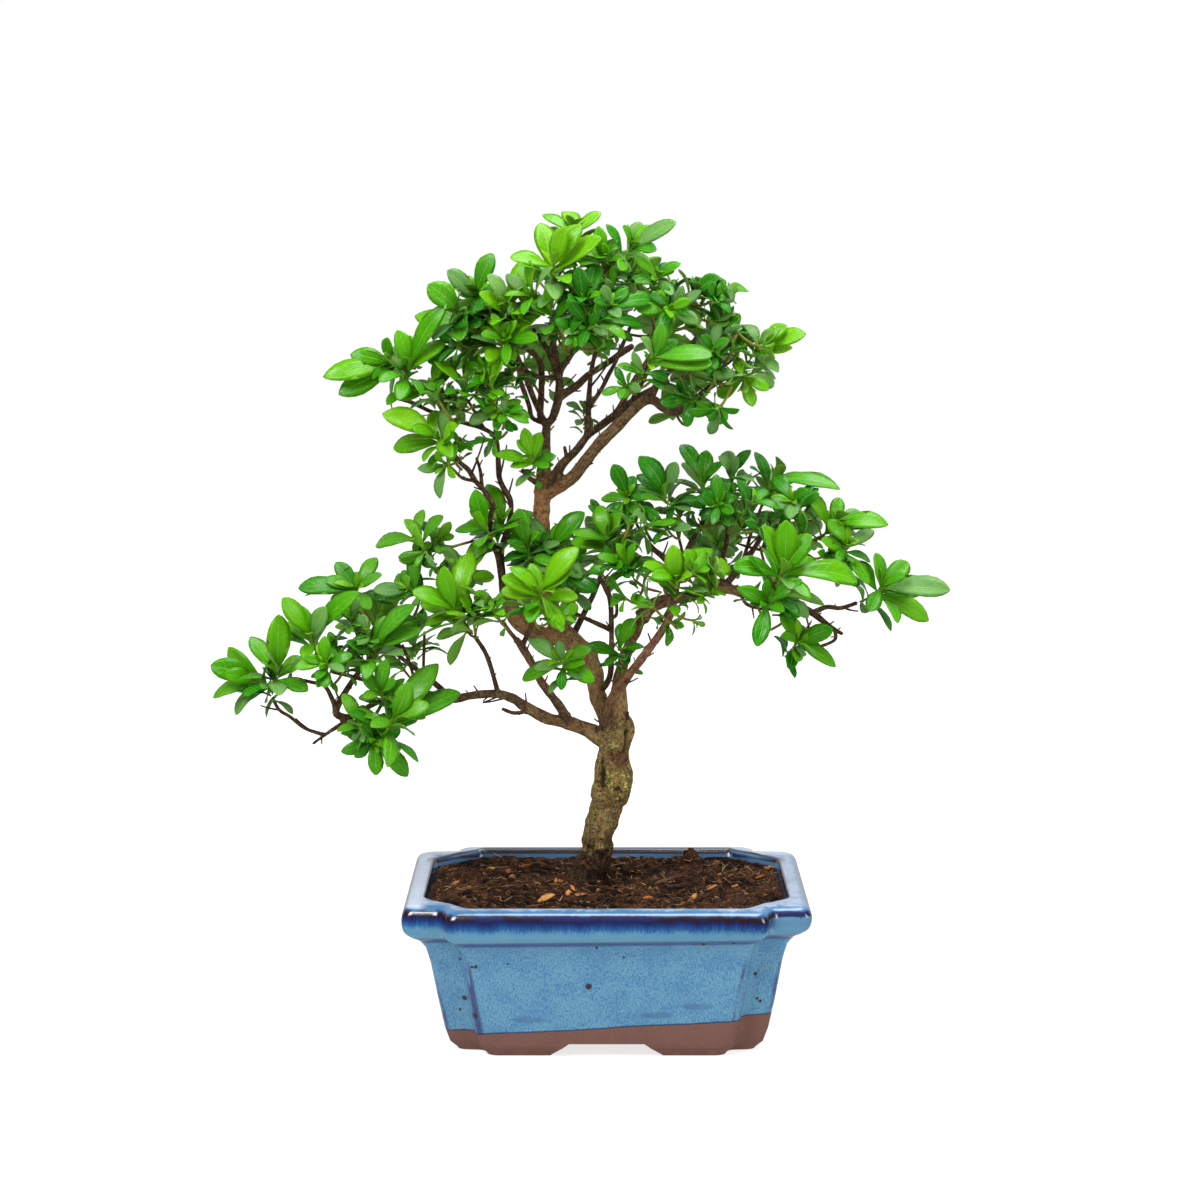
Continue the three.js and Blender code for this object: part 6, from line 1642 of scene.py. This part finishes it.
def make_crumbs(finish):
    """Peat crumbs: small closed lumps of three rings, each ring's radius and height uneven."""
    middle = spread_over_soil(CRUMB_COUNT, 31)
    count = len(middle)
    numbers = np.arange(count)
    size = 0.35 + 1.5 * scatter(numbers, 33) ** 4
    levels = np.array([-0.6, 0.1, 0.7])
    widths = np.array([0.75, 1.0, 0.6])
    row, column = np.arange(3)[None, :, None], np.arange(6)[None, None]
    jitter = 0.65 + 0.6 * scatter(numbers[:, None, None], row, column)
    turned = circle(6)[None, None] + (scatter(numbers, 34) * 6)[:, None, None]
    reach = size[:, None, None] * widths[None, :, None] * jitter
    longer = (0.8 + 0.9 * scatter(numbers, 35))[:, None, None]
    rings = middle[:, None, None] + np.stack([
        reach * np.cos(turned) * longer, reach * np.sin(turned),
        np.broadcast_to(size[:, None, None] * levels[None, :, None] * 0.8, reach.shape)], -1)
    up = np.array([0, 0, 1.0])
    start, end = middle - up * size[:, None], middle + up * size[:, None] * 0.85
    lay_bits("peat_crumbs", rings, start, end, scatter(numbers, 36), False, finish)


def make_fibres(finish):
    """Peat fibres: thin closed rods that lie on the soil in shallow arcs."""
    middle = spread_over_soil(FIBRE_COUNT, 41)
    count = len(middle)
    numbers = np.arange(count)
    length = 1.8 + 7 * scatter(numbers, 43) ** 2
    heading = scatter(numbers, 44) * 2 * math.pi
    share = np.linspace(-0.5, 0.5, 5)
    ahead = np.stack([np.cos(heading), np.sin(heading), 1.1 * (scatter(numbers, 45) - 0.4)], 1)
    aside = np.stack([-np.sin(heading), np.cos(heading), np.zeros_like(heading)], 1)
    bend = (scatter(numbers, 46) - 0.5)[:, None] * (share ** 2 * 4)[None] * 0.3
    spine = (middle[:, None] + ahead[:, None] * (length[:, None] * share)[..., None]
             + aside[:, None] * (length[:, None] * bend)[..., None])
    floor = soil_height(spine[..., 0], spine[..., 1])
    spine[..., 2] = np.maximum(spine[..., 2] + 0.2, floor - 0.1)
    radius = (0.09 + 0.2 * scatter(numbers, 47) ** 3)[:, None] * np.array([0.5, 0.9, 1, 0.9, 0.5])[None]
    ring = round_about(aside, np.array([0, 0, 1.0]), 4)[:, None]
    rings = spine[:, :, None] + ring * radius[..., None, None]
    lay_bits("peat_fibres", rings, spine[:, 0], spine[:, -1], scatter(numbers, 48), True, finish)


def make_litter(finish):
    """Dry leaves, chips and a bit of twig on the soil, where the photograph shows them: thin closed shards
    of six sides, broken off unevenly and bent a little along their length."""
    table = np.array(LITTER, float)
    count = len(table)
    numbers = np.arange(count)[:, None]
    places = np.array([on_soil(*pixel) for pixel in table[:, :2]])
    length, width = table[:, 2:3], table[:, 3:4]
    heading, tilt = np.radians(table[:, 4]), np.radians(table[:, 5])
    run = np.stack([np.cos(heading) * np.cos(tilt), np.sin(heading) * np.cos(tilt), np.sin(tilt)], 1)
    upper = unit(without(np.broadcast_to(unit(np.array([0.1, -0.7, 0.7])), run.shape), run))
    side = np.cross(upper, run)
    share = np.array([-0.42, -0.2, 0.05, 0.3, 0.44])
    outline = np.array([0.45, 0.95, 1, 0.7, 0.25])
    half = width / 2 * outline * (0.7 + 0.5 * scatter(numbers, 71 + np.arange(5)))
    drift = width * 0.22 * (scatter(numbers, 81 + np.arange(5)) - 0.5)
    bend = length * 0.12 * (0.2 - share ** 2) * (0.4 + scatter(numbers, 90))
    spine = (places[:, None] + run[:, None] * (length * share)[..., None] + side[:, None] * drift[..., None]
             + upper[:, None] * bend[..., None] + np.array([0, 0, 0.5])
             + np.array([0, 0, 0.04]) * length[..., None])
    angle = circle(6)
    thick = np.minimum(0.22, width * 0.3)
    rings = (spine[:, :, None] + side[:, None, None] * (half[..., None] * np.cos(angle))[..., None]
             + upper[:, None, None] * (thick[..., None] * np.sin(angle))[..., None])
    start, end = spine[:, 0] - run * length * 0.06, spine[:, -1] + run * length * 0.05
    lay_bits("dry_litter", rings, start, end, table[:, 6], False, finish)


def make_litter_finish():
    """Dry litter: grey brown, orange, tan or yellow green by what each chip stores, mottled and dull."""
    finish = Finish("dry_litter")
    tone = finish.layer("bit")[0]
    grain = finish.speckle(finish.place(), 500.0, 4.0, 0.6)
    shade = finish.ramp(tone, (0.0, (96, 70, 50)), (0.3, (156, 84, 36)), (0.55, (186, 122, 62)),
                        (0.8, (204, 150, 84)), (1.0, (126, 128, 44)))
    shade = finish.multiplied(0.8, shade, finish.mix(grain, (140, 120, 100), (255, 250, 240)))
    return finish.surface(base_color=shade, roughness=0.8, specular=0.25,
                          normal=finish.bump(grain, 0.0006, 0.7))


def make_soil_finish():
    """Peat: dark brown with red brown and orange fibres, and painted shade that goes nearly black in the low
    places between its clumps.
    """
    finish = Finish("peat")
    place = finish.place()
    lumps = finish.speckle(place, 190.0, 6.0, 0.7)
    strands = finish.speckle(finish.stretched(place, 1.0, 0.3, 1.0), 1100.0, 5.0, 0.7)
    strands_across = finish.speckle(finish.stretched(place, 0.3, 1.0, 1.0), 1200.0, 5.0, 0.7)
    relief = finish.layer("relief")[0]
    # Painted shade and light by height: nearly black in the low places between clumps, lighter on the tops,
    # and fibres shown only on the tops.
    high = (relief + (lumps - 0.5) * 2.4).step(0.3, 2.4)
    shade = finish.mix(high, (7, 4, 3), (51, 32, 20))
    shade = finish.coated(shade, [
        (strands.step(0.55, 0.63) * 0.55 * high, (122, 80, 48)),
        (strands_across.step(0.59, 0.66) * 0.6 * high, (172, 130, 90)),
    ])
    height = lumps * 0.6 + strands * 0.4
    return finish.surface(base_color=shade, roughness=0.95, specular=0.12,
                          normal=finish.bump(height, 0.002, 1.0))


def make_bit_finish():
    """Crumbs and fibres: each from black brown to orange brown by chance, and fibres lighter."""
    finish = Finish("peat_bits")
    chance, fibre, _ = finish.layer("bit")
    grain = finish.speckle(finish.place(), 700.0, 3.0, 0.6)
    crumb = finish.ramp(chance, (0.0, (14, 8, 5)), (0.6, (44, 27, 17)), (0.92, (84, 54, 34)),
                        (1.0, (160, 114, 76)))
    strand = finish.ramp(chance, (0.0, (34, 20, 12)), (0.45, (84, 52, 30)), (0.8, (130, 88, 52)),
                         (1.0, (202, 164, 120)))
    shade = finish.multiplied(0.7, finish.mix(fibre, crumb, strand),
                              finish.mix(grain, (120, 110, 100), (255, 250, 245)))
    return finish.surface(base_color=shade, roughness=0.95, specular=0.15,
                          normal=finish.bump(grain, 0.0006, 0.8))


def make_screen_finish():
    """Black plastic mesh with a soft moulded grain."""
    finish = Finish("screen_plastic")
    grain = finish.speckle(finish.place(), 1500.0, 2.0)
    shade = finish.mix(grain, (24, 24, 26), (44, 44, 46))
    return finish.surface(base_color=shade, roughness=0.5 + grain * 0.2,
                          normal=finish.bump(grain, 0.0002, 0.5))


# Light, floor and camera

def make_stage():
    """A white floor, large soft lights, and a white surround that is dim on the camera's side, as a studio
    with a white background is."""
    corners = np.array([[-3000, -3000, 0], [3000, -3000, 0], [3000, 3000, 0], [-3000, 3000, 0]], float)
    floor = new_mesh("floor", corners, np.array([[0, 1, 2, 3]]))
    finish = Finish("white_floor")
    grain = finish.speckle(finish.place(), 3.0, 2.0)
    shade = finish.mix(grain, (162, 162, 162), (166, 166, 166))
    floor.data.materials.append(finish.surface(base_color=shade, roughness=0.9, specular=0.1,
                                               emission=(1, 1, 1, 1), emission_strength=FLOOR_GLOW))
    floor.visible_glossy = False
    surround = Finish("white_studio", bpy.data.worlds)
    bpy.context.scene.world = surround.material
    behind = surround.parts(surround.node("ShaderNodeTexCoord", output="Generated"))[1]
    reach = behind.step(0.25, 0.7)
    straight = surround.node("ShaderNodeLightPath", output="Is Camera Ray")
    mirrored = surround.node("ShaderNodeLightPath", output="Is Glossy Ray")
    room = (1 - mirrored * 0.8) * ROOM_STRENGTH
    shown = straight.most(room + reach * (BACKGROUND_STRENGTH - ROOM_STRENGTH))
    light = surround.node("ShaderNodeBackground", None, {"Color": (1, 1, 1, 1), "Strength": shown})
    surround.node("ShaderNodeOutputWorld", None, {"Surface": light}, output=None)
    for name, place, aim, size, power in LIGHTS:
        data = bpy.data.lights.new(name, "AREA")
        data.shape = "RECTANGLE"
        data.size, data.size_y = size
        data.energy = power
        lamp = bpy.data.objects.new(name, data)
        bpy.context.scene.collection.objects.link(lamp)
        lamp.location = place
        direction = Vector(aim) - Vector(place)
        lamp.rotation_euler = direction.to_track_quat("-Z", "Y").to_euler()


def make_camera():
    """The camera in the photograph's place, with plain colours."""
    bpy.context.scene.view_settings.view_transform = "Standard"
    data = bpy.data.cameras.new("camera")
    data.sensor_width = SENSOR_WIDTH
    data.lens = FOCAL_PIXELS / PHOTO_SIDE * SENSOR_WIDTH
    data.clip_end = 20
    camera = bpy.data.objects.new("camera", data)
    bpy.context.scene.collection.objects.link(camera)
    back = np.array([0, -math.cos(VIEW_PITCH), math.sin(VIEW_PITCH)]) * VIEW_DISTANCE
    camera.location = to_frame(VIEW_AIM + back).tolist()
    camera.rotation_euler = (math.radians(90) - VIEW_PITCH, 0, 0)
    bpy.context.scene.camera = camera


# The whole

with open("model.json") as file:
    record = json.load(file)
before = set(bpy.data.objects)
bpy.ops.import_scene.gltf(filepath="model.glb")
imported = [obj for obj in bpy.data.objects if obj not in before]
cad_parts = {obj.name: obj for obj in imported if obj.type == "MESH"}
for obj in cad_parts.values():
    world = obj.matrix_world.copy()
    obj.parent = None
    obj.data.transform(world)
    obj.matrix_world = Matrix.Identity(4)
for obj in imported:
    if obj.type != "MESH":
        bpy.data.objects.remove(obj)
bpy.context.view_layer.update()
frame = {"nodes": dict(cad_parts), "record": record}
pot_low, pot_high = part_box("pot")
POT_MIDDLE = np.array([(pot_low.x + pot_high.x) / 2, (pot_low.y + pot_high.y) / 2, 0.0])
frame_slots = {part["node"]: part["material_slot"] for part in frame["record"]["subparts"]}

make_camera()
make_stage()

leaf_finish = make_leaf_finish()
stem_finish = make_stem_finish()
bark_finish = make_bark_finish()
found = 0
drawn = 0
for number, (node, slot) in enumerate(sorted(frame_slots.items())):
    if slot in SPRAY_TONES:
        youth, paleness = SPRAY_MOODS.get(node, SPRAY_TONES[slot])
        leaf_count, drawn_count = make_spray(number, node, youth, paleness, SIDE_SHOOTS.get(node, 1),
                                             [leaf_finish, stem_finish])
        found += leaf_count
        drawn += drawn_count
print("leaves in the frame", found, "leaves drawn", drawn)

wood = lay_out_limbs()
make_boughs(wood, bark_finish)
make_twigs(wood, bark_finish)
make_pot(make_pot_finish())
make_soil(make_soil_finish())
bit_finish = make_bit_finish()
make_crumbs(bit_finish)
make_fibres(bit_finish)
make_litter(make_litter_finish())
screen_finish = make_screen_finish()
for node in ("drain_screen_left", "drain_screen_right"):
    frame["nodes"][node].data.materials.clear()
    frame["nodes"][node].data.materials.append(screen_finish)
